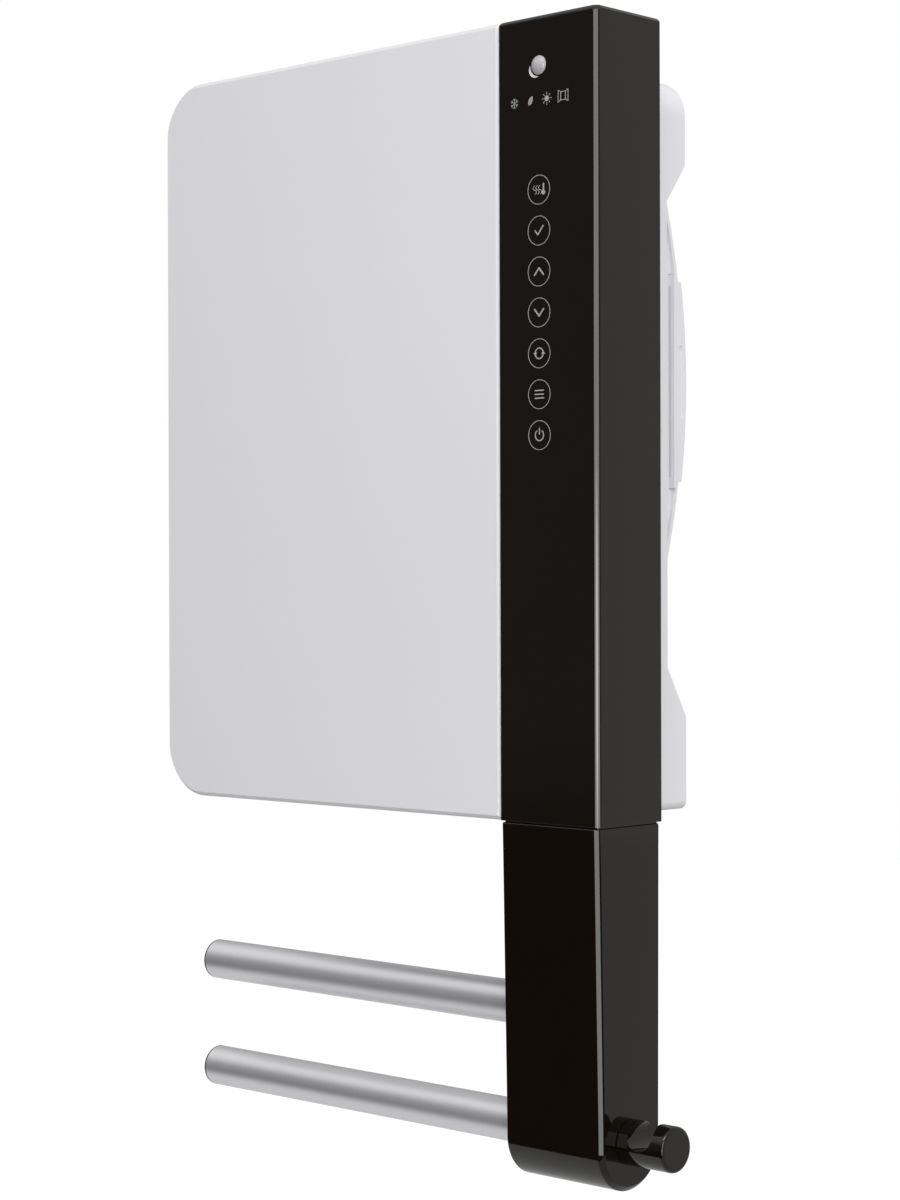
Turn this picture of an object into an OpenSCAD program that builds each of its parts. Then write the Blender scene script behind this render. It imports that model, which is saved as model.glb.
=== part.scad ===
// Wall-hung electric bathroom radiator: a flat radiating panel, a fan heater behind it,
// a touch-control column and an arm with two towel bars and a robe hook.
// X runs to the right, Z up and Y into the wall. The origin is the centre of the
// wall screws on the wall plane. All sizes are in millimetres.

/* [Body] */
// Width over the panel and the column
body_w = 440; // [420:5:560]
// Height of the panel and the column
body_h = 546; // [530:2:640]
// Distance from the wall to the column's front
body_d = 129; // [127:1:140]
// Distance from the top edge down to the upper wall screws
top_to_screws = 63; // [58:1:66]

/* [Front panel] */
// Depth of the pressed panel tray
panel_d = 22; // [18:1:24]
// Sheet thickness of the panel
panel_t = 1.5; // [0.8:0.1:2]
// Radius of the panel's two free corners
panel_r = 40; // [20:2:60]
// Step of the panel's face behind the column's face
panel_set = 1; // [0.5:0.5:3]
// Sheet thickness of the chassis plate
chassis_t = 1.2; // [0.8:0.1:2]
// Thickness of the film heating element
film_t = 0.8; // [0.5:0.1:1.2]
// Bare margin round the film heating element
film_margin = 26; // [15:1:40]

/* [Control column] */
// Width of the column
column_w = 88; // [84:1:100]
// Depth of the column
column_d = 66.5; // [62:0.5:68]
// Wall thickness of the column and arm covers
cover_t = 2.5; // [2:0.25:3]
// Radius of the column's and the arm's right front edges
column_r = 3.5; // [2:0.5:5]
// Diameter of the presence sensor's lens
lens_d = 13; // [10:0.5:16]
// Distance of the lens below the column's top
lens_drop = 34; // [28:1:40]
// Distance of the lens and keys from the column's left edge
key_inset = 37; // [34:1:46]
// Diameter of a touch key's ring
ring_d = 20; // [16:0.5:22]
// Distance of the first key below the column's top
key_drop = 118; // [100:1:130]
// Distance from one key to the next
key_pitch = 27.6; // [25:0.1:32]
// Number of touch keys
key_count = 7; // [3:1:7]
// Distance of the pictogram row below the column's top
icon_drop = 57.4; // [52:0.2:66]
// Distance from one pictogram to the next
icon_pitch = 14.6; // [12:0.2:16]

/* [Rear housing] */
// Wall thickness of the moulded rear housing
shell_t = 2.5; // [2:0.25:3]
// Step of the housing's sides inside the body's outline
side_inset = 28; // [20:1:34]
// Step of the housing's top below the column's top
top_inset = 29; // [24:1:34]
// Gap between the wall and the housing's flat back
wall_gap = 20.5; // [19:0.5:22]
// Width of each corner foot
foot_w = 62; // [50:1:64]
// Radius of the bowed air intake
bow_r = 440; // [420:5:480]
// Gap between the wall and the bow's crown
bow_gap = 2.5; // [2:0.5:4]
// Distance of the bow's centre below the top
bow_drop = 242.5; // [236:0.5:250]

/* [Dust filter] */
// Height of the filter cassette
filter_h = 140; // [120:2:144]
// Distance from the housing's left side to the cassette's inner end
filter_end = 45.5; // [20:0.5:90]
// Height of the cassette's cover above the bow
filter_proud = 1.7; // [0.5:0.1:1.8]
// Running clearance of the cassette in its guides
filter_gap = 0.4; // [0.3:0.05:0.5]

/* [Fan] */
// Diameter of the cross-flow rotor
rotor_d = 54; // [46:1:56]
// Room for the motor between the housing's left side and the rotor
motor_room = 70; // [56:1:90]
// Distance from the rotor's right end to the column
rotor_end = 47; // [38:1:60]
// Number of rotor blades
blade_count = 24; // [16:1:28]
// Diameter of the fan shaft
shaft_d = 6; // [5:0.5:7]
// Radial running clearance of the shaft in its bushes
shaft_gap = 0.05; // [0.02:0.01:0.08]
// Distance of the fan axis from the wall
fan_wall = 62; // [61:0.5:63]
// Height of the fan axis above the housing's bottom
fan_rise = 180; // [176:1:186]

/* [Towel arm] */
// Depth of the arm where it meets the column
arm_top_d = 66; // [62:0.5:67]
// Depth of the arm at its round end
arm_end_d = 61; // [54:0.5:62]
// Distance of the round end's centre below the lower bar's axis
arm_end_drop = 3; // [0:0.5:6]
// Distance of the bars' axes behind the column's front
bar_back = 34.4; // [33:0.2:35]
// Distance of the upper bar's axis below the panel
bar_drop = 130.4; // [110:0.2:150]
// Distance between the two bars' axes
bar_pitch = 83; // [70:1:100]
// Diameter of the towel bars
bar_d = 30; // [25:0.5:32]
// Wall thickness of the towel bars
bar_t = 1.5; // [1:0.1:2]
// Length of the bars outside the arm
bar_l = 332; // [250:2:350]
// Diameter of the robe hook
hook_d = 31; // [28:0.5:34]
// Length of the robe hook
hook_l = 39.5; // [37:0.5:44]
// Diameter of the round notch in the robe hook
notch_d = 20.6; // [16:0.2:21]

/* [Wall mounting] */
// Distance between the wall screws, side to side
screw_w = 200; // [160:5:220]
// Distance between the wall screws, top to bottom
screw_h = 340; // [334:1:346]
// Diameter of the wall screw holes
screw_hole_d = 6.5; // [5:0.5:7]

/* [Hidden] */
$fn = 96;

// Small working clearances, and how far a cut runs past the face it opens
fit = 0.2;
hang_gap = 0.3;
bite = 1;

// Outline of the body
left_x = -body_w / 2;
right_x = body_w / 2;
joint_x = right_x - column_w;
top_z = screw_h / 2 + top_to_screws;
seam_z = top_z - body_h;
front_y = -body_d;
column_back_y = front_y + column_d;

// Front panel
panel_gap = 0.5;
panel_x = joint_x - panel_gap;
panel_y = front_y + panel_set;
panel_back_y = panel_y + panel_d;
film_y = panel_y + panel_t;
chassis_y = panel_back_y - chassis_t;

// Rear housing, standing on an upper and a lower pair of feet with sloped inner ends
low_inset = 3;
house_x0 = left_x + side_inset;
house_x1 = right_x - side_inset;
house_z0 = seam_z + low_inset;
house_z1 = top_z - top_inset;
house_top_r = 26;
house_low_r = 6;
flat_y = -wall_gap;
inner_y = flat_y - shell_t;
bow_z = top_z - bow_drop;
bow_y = -bow_gap - bow_r;
bow_low_z = bow_z - sqrt(pow(bow_r, 2) - pow(flat_y - bow_y, 2));
recess_d = 3;
recess_skin = 3;
upper_foot_h = 61;
lower_foot_h = 65;
upper_slope = 27;
lower_slope = 35;
upper_foot_z = house_z1 - upper_foot_h;
lower_foot_z = house_z0 + lower_foot_h;

// Fasteners: small screws for sheet and plastic, and bolts for the bars and the hook
screw_r = 2;
head_r = 4;
head_h = 2.5;
screw_tip = 3;
bolt_r = 4;
bolt_head_r = 6.5;
bolt_head_h = 5;

// Screw towers of the housing, clear of the fan, the filter and the column
tower_bore_r = head_r + fit;
tower_r = tower_bore_r + 2.3;
tower_floor = 8;
tower_floor_y = panel_back_y + tower_floor;
tower_left = [83, 45];
tower_right = [19.5, 13.5];
tower_drop = 12;
tower_rise = 44;
tower_z = [upper_foot_z - tower_drop, lower_foot_z + tower_rise];
towers = [
    for (i = [0, 1]) each [[house_x0 + tower_left[i], tower_z[i]], [panel_x - tower_right[i], tower_z[i]]]
];

// Dust filter cassette
filter_out = 1.5;
filter_x1 = house_x1 + filter_out;
filter_x0 = house_x0 + filter_end;
filter_l = filter_x1 - filter_x0;
rim_w = 5;
rim_t = 2.5;
filter_wall = 3;
rim_half = filter_h / 2 + rim_w;
rim_y = bow_y + sqrt(pow(bow_r - shell_t, 2) - pow(rim_half + 1, 2)) - filter_gap - rim_t;
guide_t = 2.5;
slot_rows = 8;
slot_cols = 6;
slot_rib = [8, 6];
mesh_t = 0.8;
mesh_rows = 10;
mesh_cols = 28;
mesh_wire = 1;
mesh_edge = 2;

// Fan, motor and heater
fan_y = -fan_wall;
fan_z = house_z0 + fan_rise;
rotor_r = rotor_d / 2;
rotor_x0 = house_x0 + motor_room;
rotor_x1 = joint_x - rotor_end;
rotor_l = rotor_x1 - rotor_x0;
rotor_room = 5;
casing_x0 = rotor_x0 - rotor_room;
casing_x1 = rotor_x1 + rotor_room;
casing_t = 1.5;
casing_gap = 6;
casing_r = rotor_r + casing_gap;
duct_front = rotor_r + casing_gap + 1;
throat_drop = 18;
lug_size = [12, 10];
lug_rise = [5, 27];
duct_y0 = fan_y - duct_front;
duct_y1 = fan_y + casing_r + casing_t;
casing_drop = 75;
casing_z0 = fan_z - casing_drop;
heater_h = 52;
heater_z0 = casing_z0 - heater_h;
sheet_t = 1.2;
shaft_r = shaft_d / 2;
bush_r = 9;
bush_l = 6;
motor_r = 12.9;
motor_gap = 0.3;
motor_l = 20;
bracket_room = 8.5;
bracket_t = 2;
motor_x1 = casing_x0 - casing_t - bracket_room;
motor_x0 = motor_x1 - motor_l;
stator_w = 54;
stator_top = 22;
stator_low = 50;
limb_h = 12;
window_w = 36;
window_top = 20;
coil_t = 6;
tube_r = 4;
fin_count = 30;
fin_size = [0.6, 24, 38];
element_gap = 32;
element_y = [fan_y - element_gap / 2, fan_y + element_gap / 2];
element_z = heater_z0 + heater_h / 2;

// Electronics
board_t = 1.6;
post_h = 8;
post_r = 3.5;
pin_r = 1.5;
board_size = [150, 90];
board_end = 42;
board_drop = 80;
board_x = joint_x - board_end - board_size.x;
board_z = upper_foot_z - board_drop;
board_y = panel_back_y + post_h;
post_inset = 6;
post_places = [
    for (x = [post_inset, board_size.x - post_inset], z = [post_inset, board_size.y - post_inset])
        [board_x + x, board_z + z]
];
relay_count = 3;
relay_pitch = 26;
relay_size = [19, 15, 15];
relay_at = [20, 14];
block_ways = 4;
block_size = [44, 16, 24];
block_inset = 8;
block_rise = 165;
block_x = house_x1 - block_inset - block_size.x;
block_z = seam_z + block_rise;
gland_inset = 40;
gland_x = house_x1 - gland_inset;
gland_z = (bow_low_z + lower_foot_z + lower_slope) / 2;
gland_r = 8;
flange_r = gland_r + 2;
flange_t = 4;
cable_r = 4;
sensor_r = 2.5;
sensor_l = 20;
sensor_x = casing_x1 + 20;
sensor_y = fan_y + 12;

// Control column
pocket_y = front_y + cover_t;
control_gap = 4.5;
control_y = pocket_y + control_gap;
control_edge = 6;
control_x = [joint_x + control_edge, right_x - control_edge];
control_top = 9;
control_z = [top_z - key_drop - key_pitch * (key_count - 1) - ring_d / 2 - control_edge, top_z - control_top];
boss_inset = 5;
boss_r = 2.5;
glyph_ring = 20;
key_x = joint_x + key_inset;
lens_z = top_z - lens_drop;
lens_r = lens_d / 2;
icon_z = top_z - icon_drop;
icon_count = 4;
icon_x = key_x - (icon_count - 1) / 2 * icon_pitch;
key_z = [for (i = [0:key_count - 1]) top_z - key_drop - i * key_pitch];
back_t = 2.5;
back_y = column_back_y - back_t;
step_y = column_back_y + shell_t;
hole_inset = [14, 10];
hole_rise = 200;
hole_drop = 90;
column_holes = [
    for (x = [panel_x + hole_inset[0], house_x1 - hole_inset[1]], z = [seam_z + hole_rise, top_z - hole_drop])
        [x, z]
];
mark_t = 0.2;
mark_w = 0.4;
fine_w = 0.32;

// Towel arm
seam_gap = 1;
arm_inset = 1;
arm_x0 = joint_x + arm_inset;
arm_x1 = right_x - arm_inset;
arm_r = arm_end_d / 2;
bar_y = front_y + bar_back;
upper_bar_z = seam_z - bar_drop;
lower_bar_z = upper_bar_z - bar_pitch;
arm_top_z = seam_z - seam_gap;
arm_rear_d = arm_top_d - bar_back;
arm_end_z = lower_bar_z - arm_end_drop;
bar_r = bar_d / 2;
bar_x0 = arm_x0 - bar_l;
cap_t = 2;
plug_r = bar_r - bar_t;
cap_plug_l = 12;
plug_l = 30;
bolt_l = 22;
mast_inset = 14;
mast_x0 = joint_x + mast_inset;
mast_x1 = right_x - mast_inset;
mast_x = (mast_x0 + mast_x1) / 2;
mast_t = 2.5;
mast_r = 17.4;
mast_y1 = bar_y + mast_r;
mast_gap = 0.5;
mast_reach = 140;
mast_top_z = seam_z + mast_reach;
mast_low_z = lower_bar_z - mast_r;
spacer_rise = [24, 112];
spacer_z = seam_z * [1, 1] + spacer_rise;
spacer_h = 24;
spacer_inset = 6;
washer_r = 10;
access_r = 8;
edge_soft = 1.5;
rear_soft = 1;
hook_r = hook_d / 2;
notch_r = notch_d / 2;
notch_from_end = 20.9;
notch_at = [hook_l - notch_from_end, 8.4];
thread_wall = 1.3;
thread_l = notch_at.x - notch_r - thread_wall;
hook_nose = 2.5;

// Wall rails
rail_t = 2;
rail_room = 3;
rail_w = house_x1 - house_x0 - 2 * (foot_w + rail_room);
rail_h = 40;
rail_d = 16;
rail_z = screw_h / 2;
ledge_z = rail_h / 2;
lip_h = 8;
hanger_x = 80;
hanger_w = 40;
hanger_t = 3;
lug_w = 18;
lug_h = 8;
lug_y1 = -5;
lock_y = -10;
lock_z = -ledge_z - hang_gap - lug_h;

// Solids drawn from flat outlines, each along one axis
module along_x(x0, x1) {
    translate([x0, 0, 0]) rotate([90, 0, 90]) linear_extrude(x1 - x0) children();
}
module along_y(y0, y1) {
    translate([0, y1, 0]) rotate([90, 0, 0]) linear_extrude(y1 - y0) children();
}
module along_z(z0, z1) {
    translate([0, 0, z0]) linear_extrude(z1 - z0) children();
}
module block(a, b) {
    translate(a) cube(b - a);
}
module rod_x(x0, x1, r) {
    translate([x0, 0, 0]) rotate([0, 90, 0]) cylinder(r = r, h = x1 - x0);
}
module rod_y(y0, y1, r) {
    translate([0, y1, 0]) rotate([90, 0, 0]) cylinder(r = r, h = y1 - y0);
}

// Flat rectangle with its own radius at each corner: lower left, lower right, upper right, upper left
module plate2d(a, b, radii = [0, 0, 0, 0]) {
    corners = [[a, [1, 1]], [[b.x, a.y], [-1, 1]], [b, [-1, -1]], [[a.x, b.y], [1, -1]]];
    difference() {
        translate(a) square(b - a);
        for (k = [0:3]) if (radii[k] > 0) corner_waste(corners[k][0], corners[k][1], radii[k]);
    }
}
module corner_waste(at, way, r) {
    translate(at) difference() {
        translate([way.x > 0 ? -1 : -r, way.y > 0 ? -1 : -r]) square(r + 1);
        translate(way * r) circle(r);
    }
}

// Flat marks: a straight stroke with round ends, and part of a ring
module stroke(a, b, w) {
    way = b - a;
    translate(a) rotate(atan2(way.y, way.x)) translate([0, -w / 2]) square([norm(way), w]);
    translate(a) circle(d = w, $fn = 24);
    translate(b) circle(d = w, $fn = 24);
}
module ring_part(r, w, a0, a1) {
    steps = 6;
    fan = [for (i = [0:steps]) a0 + (a1 - a0) * i / steps];
    intersection() {
        difference() {
            circle(r + w / 2);
            circle(r - w / 2);
        }
        polygon([[0, 0], for (a = fan) 2 * r * [cos(a), sin(a)]]);
    }
}

// Outline of the panel seen from the front, drawn in by a margin
module panel_outline(margin) {
    sharp = 3;
    plate2d([left_x + margin, seam_z + margin], [panel_x - margin, top_z - margin],
            [panel_r - margin, sharp, sharp, panel_r - margin]);
}

module front_panel() {
    color("gainsboro") difference() {
        along_y(panel_y, panel_back_y) panel_outline(0);
        along_y(film_y, panel_back_y + bite) panel_outline(panel_t);
    }
}

module heating_film() {
    color("orange") along_y(film_y, film_y + film_t) panel_outline(film_margin);
}

module insulation_board() {
    overlap = 6;
    color("khaki") difference() {
        along_y(film_y + film_t, chassis_y) panel_outline(film_margin - overlap);
        for (p = towers)
            translate([p.x, 0, p.y]) rod_y(chassis_y - screw_tip - bite, panel_back_y, screw_r + 1);
    }
}

module chassis_plate() {
    color("silver") difference() {
        along_y(chassis_y, panel_back_y) panel_outline(panel_t + fit);
        for (p = towers) translate([p.x, 0, p.y]) rod_y(chassis_y - bite, panel_back_y + bite, screw_r);
    }
}

// Side profile of the housing's back in Y and Z: the flat, and the bow over the intake
module housing_profile(t) {
    plate2d([panel_back_y - t, house_z0 + t], [flat_y - t, house_z1 - t]);
    intersection() {
        translate([bow_y, bow_z]) circle(bow_r - t);
        plate2d([flat_y - t - bite, house_z0 + t], [0, house_z1 - t]);
    }
}

// Side profile of the two feet that stand the housing off the wall
module foot_profile(t) {
    polygon([
        [inner_y - bite, house_z1 - t], [-t, house_z1 - t], [-t, upper_foot_z + t / 2],
        [flat_y - t, upper_foot_z - upper_slope + t / 2], [inner_y - bite, upper_foot_z - upper_slope + t / 2]
    ]);
    polygon([
        [inner_y - bite, house_z0 + t], [-t, house_z0 + t], [-t, lower_foot_z - t / 2],
        [flat_y - t, lower_foot_z + lower_slope - t / 2], [inner_y - bite, lower_foot_z + lower_slope - t / 2]
    ]);
}

// Recess in the right side of the bow, for the fingers that draw the cassette out
module finger_recess(t) {
    along_x(house_x1 - recess_d - t, house_x1 + bite) intersection() {
        translate([bow_y, bow_z]) circle(bow_r - recess_skin + t);
        plate2d([flat_y - t, house_z0], [0, house_z1]);
    }
}

module housing_form(t) {
    difference() {
        intersection() {
            union() {
                along_x(house_x0 + t, house_x1 - t) housing_profile(t);
                along_x(house_x0 + t, house_x0 + foot_w - t) foot_profile(t);
                along_x(house_x1 - foot_w + t, house_x1 - t) foot_profile(t);
            }
            along_y(panel_back_y - t, bite)
                plate2d([house_x0 + t, house_z0 + t], [house_x1 - t, house_z1 - t],
                        [house_low_r - t, house_low_r - t, house_top_r - t, house_top_r - t]);
        }
        block([panel_x - t, panel_y, house_z0 - bite], [house_x1 + bite, column_back_y + t, house_z1 + bite]);
        finger_recess(t);
    }
}

// Side profile of the cassette, grown by a running clearance
module cassette_profile(gap) {
    half = filter_h / 2 + gap;
    intersection() {
        translate([bow_y, bow_z]) circle(bow_r + filter_proud + gap);
        plate2d([rim_y - gap, bow_z - half], [0, bow_z + half]);
    }
    plate2d([rim_y - gap, bow_z - half - rim_w], [rim_y + rim_t + gap, bow_z + half + rim_w]);
}

// Ledges inside the housing that the cassette's rims run on
module filter_guides() {
    z_in = filter_h / 2 - 2;
    z_out = filter_h / 2 + rim_w + 2 * filter_gap + guide_t;
    for (side = [-1, 1])
        along_x(filter_x0 - 4, house_x1 - recess_d - shell_t / 2) intersection() {
            translate([bow_y, bow_z]) circle(bow_r - shell_t / 2);
            plate2d([rim_y - filter_gap - guide_t, bow_z + min(side * z_in, side * z_out)],
                    [0, bow_z + max(side * z_in, side * z_out)]);
        }
}

// Hooks on the housing's back that reach over the upper rail's lip
module housing_hooks() {
    lip_top = ledge_z + lip_h + hang_gap;
    slot_y1 = -rail_d + rail_t + hang_gap;
    for (side = [-1, 1])
        translate([side * hanger_x, 0, rail_z]) along_x(-hanger_w / 2, hanger_w / 2) difference() {
            plate2d([flat_y, ledge_z + hang_gap], [slot_y1 + hanger_t, lip_top + hanger_t]);
            plate2d([flat_y - bite, ledge_z], [slot_y1, lip_top]);
        }
}

// Lugs under the lower rail's ledge, held to it by a screw each
module lock_lugs() {
    for (side = [-1, 1])
        translate([side * hanger_x, 0, -rail_z]) difference() {
            block([-lug_w / 2, flat_y, lock_z], [lug_w / 2, lug_y1, lock_z + lug_h]);
            translate([0, lock_y, lock_z - bite]) cylinder(r = screw_r + fit, h = lug_h + 2 * bite);
        }
}

module rear_housing() {
    color("whitesmoke") difference() {
        union() {
            difference() {
                housing_form(0);
                housing_form(shell_t);
            }
            filter_guides();
            housing_hooks();
            lock_lugs();
            for (p = towers) translate([p.x, 0, p.y]) rod_y(panel_back_y, flat_y - shell_t / 2, tower_r);
        }
        for (p = towers) translate([p.x, 0, p.y]) {
            rod_y(tower_floor_y, flat_y + bite, tower_bore_r);
            rod_y(panel_back_y - bite, tower_floor_y + bite, screw_r + fit);
        }
        along_x(filter_x0 - filter_gap, house_x1 + bite) cassette_profile(filter_gap);
        along_z(house_z0 - bite, house_z0 + shell_t + bite)
            plate2d([casing_x0 - fit, duct_y0 + casing_t - fit], [casing_x1 + fit, duct_y1 - casing_t + fit]);
        translate([gland_x, 0, gland_z]) rod_y(inner_y - bite, flat_y + bite, gland_r);
        translate([sensor_x, sensor_y, house_z0 - bite]) cylinder(r = sensor_r, h = shell_t + 2 * bite);
        for (p = column_holes) translate([p.x, 0, p.y]) rod_y(column_back_y - bite, step_y + bite, screw_r);
    }
}

module housing_screws() {
    color("silver") for (p = towers) translate([p.x, 0, p.y]) {
        rod_y(tower_floor_y, tower_floor_y + head_h, head_r);
        rod_y(chassis_y - screw_tip, tower_floor_y, screw_r);
    }
}

module filter_cassette() {
    hollow = filter_h / 2 - filter_wall;
    margin = 2 * filter_wall;
    pitch = [(filter_l - 2 * margin) / slot_cols, 2 * hollow / slot_rows];
    hole = pitch - slot_rib;
    grip = [filter_out - 0.3, 4, 50];
    color("whitesmoke") difference() {
        along_x(filter_x0, filter_x1) cassette_profile(0);
        along_x(filter_x0 + filter_wall, filter_x1 - filter_wall) intersection() {
            translate([bow_y, bow_z]) circle(bow_r + filter_proud - filter_wall);
            plate2d([rim_y - bite, bow_z - hollow], [0, bow_z + hollow]);
        }
        for (row = [0:slot_rows - 1], col = [0:slot_cols - 1])
            translate([filter_x0 + margin + pitch.x * (col + 0.5), 0, bow_z - hollow + pitch.y * (row + 0.5)])
                along_y(rim_y + rim_t, bite) plate2d(-hole / 2, hole / 2);
        translate([filter_x1 - grip.x, rim_y + rim_t + 3.5, bow_z - grip.z / 2]) cube(grip + [bite, 0, 0]);
    }
}

module filter_mesh() {
    x0 = filter_x0 + filter_wall;
    x1 = filter_x1 - filter_wall;
    z0 = bow_z - filter_h / 2 + filter_wall;
    z1 = bow_z + filter_h / 2 - filter_wall;
    gap_x = (x1 - x0 - 2 * mesh_edge + mesh_wire) / mesh_cols;
    gap_z = (z1 - z0 - 2 * mesh_edge + mesh_wire) / mesh_rows;
    color("darkgray") along_y(rim_y, rim_y + mesh_t) difference() {
        plate2d([x0, z0], [x1, z1]);
        for (col = [0:mesh_cols - 1], row = [0:mesh_rows - 1])
            translate([x0 + mesh_edge + col * gap_x, z0 + mesh_edge + row * gap_z])
                square([gap_x - mesh_wire, gap_z - mesh_wire]);
    }
}

// Side profile of the fan casing in Y and Z about the fan axis
module casing_walls() {
    duct_in = casing_t - duct_front;
    lip = [1 - rotor_r, casing_gap - 1 - rotor_r];
    ring_part(casing_r + casing_t / 2, casing_t, -1, 65);
    plate2d([casing_r, -casing_drop], [casing_r + casing_t, 0.5]);
    polygon([
        [-duct_front, -casing_drop], [duct_in, -casing_drop], [duct_in, lip.y - throat_drop - casing_t],
        lip, lip - casing_t * [0.5, 1], [-duct_front, lip.y - throat_drop]
    ]);
}
module casing_end() {
    circle(casing_r + casing_t);
    plate2d([-duct_front, -casing_drop], [casing_r + casing_t, 0]);
}

module fan_casing() {
    lug_x = [casing_x0 - casing_t, casing_x1 + casing_t - lug_size.x];
    color("dimgray") difference() {
        union() {
            translate([0, fan_y, fan_z]) {
                along_x(casing_x0, casing_x1) casing_walls();
                along_x(casing_x0 - casing_t, casing_x0) casing_end();
                along_x(casing_x1, casing_x1 + casing_t) casing_end();
            }
            for (x = lug_x, rise = lug_rise)
                translate([0, 0, casing_z0 + rise])
                    block([x, panel_back_y, 0], [x + lug_size.x, duct_y0 + casing_t / 2, lug_size.y]);
        }
        translate([0, fan_y, fan_z]) {
            rod_x(casing_x0 - casing_t - bite, casing_x0 + bite, bush_r);
            rod_x(casing_x1 - bite, casing_x1 + casing_t + bite, bush_r);
        }
    }
}

module fan_rotor() {
    disc_t = 2;
    hub_l = 10;
    hub_r = shaft_r + 4;
    blade_arc = 9;
    blade_t = 0.9;
    blade_w = 8;
    color("black") translate([0, fan_y, fan_z]) difference() {
        union() {
            rod_x(rotor_x0, rotor_x0 + disc_t, rotor_r);
            rod_x(rotor_x1 - disc_t, rotor_x1, rotor_r);
            rod_x(rotor_x0, rotor_x0 + hub_l, hub_r);
            rod_x(rotor_x1 - hub_l, rotor_x1, hub_r);
            for (third = [1, 2])
                translate([rotor_x0 + rotor_l * third / 3, 0, 0]) along_x(-disc_t / 2, disc_t / 2)
                    difference() {
                        circle(rotor_r);
                        circle(rotor_r - blade_w);
                    }
            for (i = [0:blade_count - 1])
                along_x(rotor_x0 + disc_t / 2, rotor_x1 - disc_t / 2) rotate(i * 360 / blade_count)
                    translate([rotor_r - blade_w / 2 - 0.3, -blade_arc])
                        ring_part(blade_arc, blade_t, 62, 112);
        }
        rod_x(rotor_x0 - bite, rotor_x1 + bite, shaft_r);
    }
}

module rotor_shaft() {
    color("silver") translate([0, fan_y, fan_z])
        rod_x(motor_x0 - bracket_room - bite, casing_x1 + bush_l + bite, shaft_r);
}

module motor_rotor() {
    color("gray") translate([0, fan_y, fan_z]) difference() {
        rod_x(motor_x0, motor_x1, motor_r);
        rod_x(motor_x0 - bite, motor_x1 + bite, shaft_r);
    }
}

module shaft_bush() {
    color("goldenrod") translate([0, fan_y, fan_z]) difference() {
        union() {
            rod_x(casing_x1, casing_x1 + bush_l, bush_r);
            rod_x(casing_x1 + casing_t, casing_x1 + casing_t + 2, bush_r + 2);
        }
        rod_x(casing_x1 - bite, casing_x1 + bush_l + bite, shaft_r + shaft_gap);
    }
}

module motor_stator() {
    color("slategray") translate([0, fan_y, fan_z]) along_x(motor_x0, motor_x1) difference() {
        plate2d([-stator_w / 2, -stator_low], [stator_w / 2, stator_top], [2, 2, 2, 2]);
        circle(motor_r + motor_gap);
        plate2d([-window_w / 2, limb_h - stator_low], [window_w / 2, -window_top], [2, 2, 2, 2]);
    }
}

module motor_coil() {
    half = window_w / 2 - 1;
    color("darkgoldenrod") translate([0, fan_y, fan_z]) difference() {
        along_x(motor_x0 - coil_t, motor_x1 + coil_t)
            plate2d([-half, -stator_low - coil_t], [half, limb_h - stator_low + coil_t], [4, 4, 4, 4]);
        along_x(motor_x0, motor_x1) plate2d([-half - bite, -stator_low], [half + bite, limb_h - stator_low]);
    }
}

// One bearing bracket, standing off the motor's face at x = 0 on two legs
module motor_bracket() {
    half = stator_w / 2 - 1;
    leg = [5, 10];
    stand = bracket_room - bracket_t;
    difference() {
        union() {
            along_x(stand, stand + bracket_t) plate2d([-half, -9], [half, 9], [4, 4, 4, 4]);
            for (y = [-half, half - leg.x]) block([0, y, -leg.y / 2], [stand, y + leg.x, leg.y / 2]);
            rod_x(stand - 3, stand, shaft_r + 3);
        }
        rod_x(-bite, bracket_room + bite, shaft_r + shaft_gap);
    }
}

// The bracket on the fan's side also stands against the casing's end
module motor_brackets() {
    color("silver") translate([0, fan_y, fan_z]) {
        translate([motor_x1, 0, 0]) motor_bracket();
        translate([motor_x0, 0, 0]) mirror([1, 0, 0]) motor_bracket();
    }
}

// Open rectangular sheet duct with the fan casing's section
module sheet_duct(z0, z1) {
    along_z(z0, z1) difference() {
        plate2d([casing_x0 - casing_t, duct_y0], [casing_x1 + casing_t, duct_y1]);
        plate2d([casing_x0 - casing_t + sheet_t, duct_y0 + sheet_t],
                [casing_x1 + casing_t - sheet_t, duct_y1 - sheet_t]);
    }
}

module heater_frame() {
    color("lightgray") difference() {
        sheet_duct(heater_z0, casing_z0);
        for (y = element_y) translate([0, y, element_z])
            rod_x(casing_x0 - casing_t - bite, casing_x1 + casing_t + bite, tube_r);
    }
}

module heating_element() {
    end_l = 7;
    fin_room = 6;
    fin_pitch = (casing_x1 - casing_x0 - 2 * fin_room) / (fin_count - 1);
    color("silver") for (y = element_y) translate([0, y, element_z]) {
        rod_x(casing_x0 - casing_t - end_l, casing_x1 + casing_t + end_l, tube_r);
        for (i = [0:fin_count - 1])
            translate([casing_x0 + fin_room + i * fin_pitch, 0, 0]) block(-fin_size / 2, fin_size / 2);
    }
}

module thermal_cutout() {
    body_r = 8;
    ear = [13, 1, 3];
    color("tan") translate([rotor_x0 + rotor_l / 2, duct_y0, element_z]) {
        rod_y(-5, 0, body_r);
        block([-ear.x, -ear.y, -ear.z], [ear.x, 0, ear.z]);
    }
}

module outlet_duct() {
    color("lightgray") sheet_duct(house_z0 + shell_t, heater_z0);
}

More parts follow.
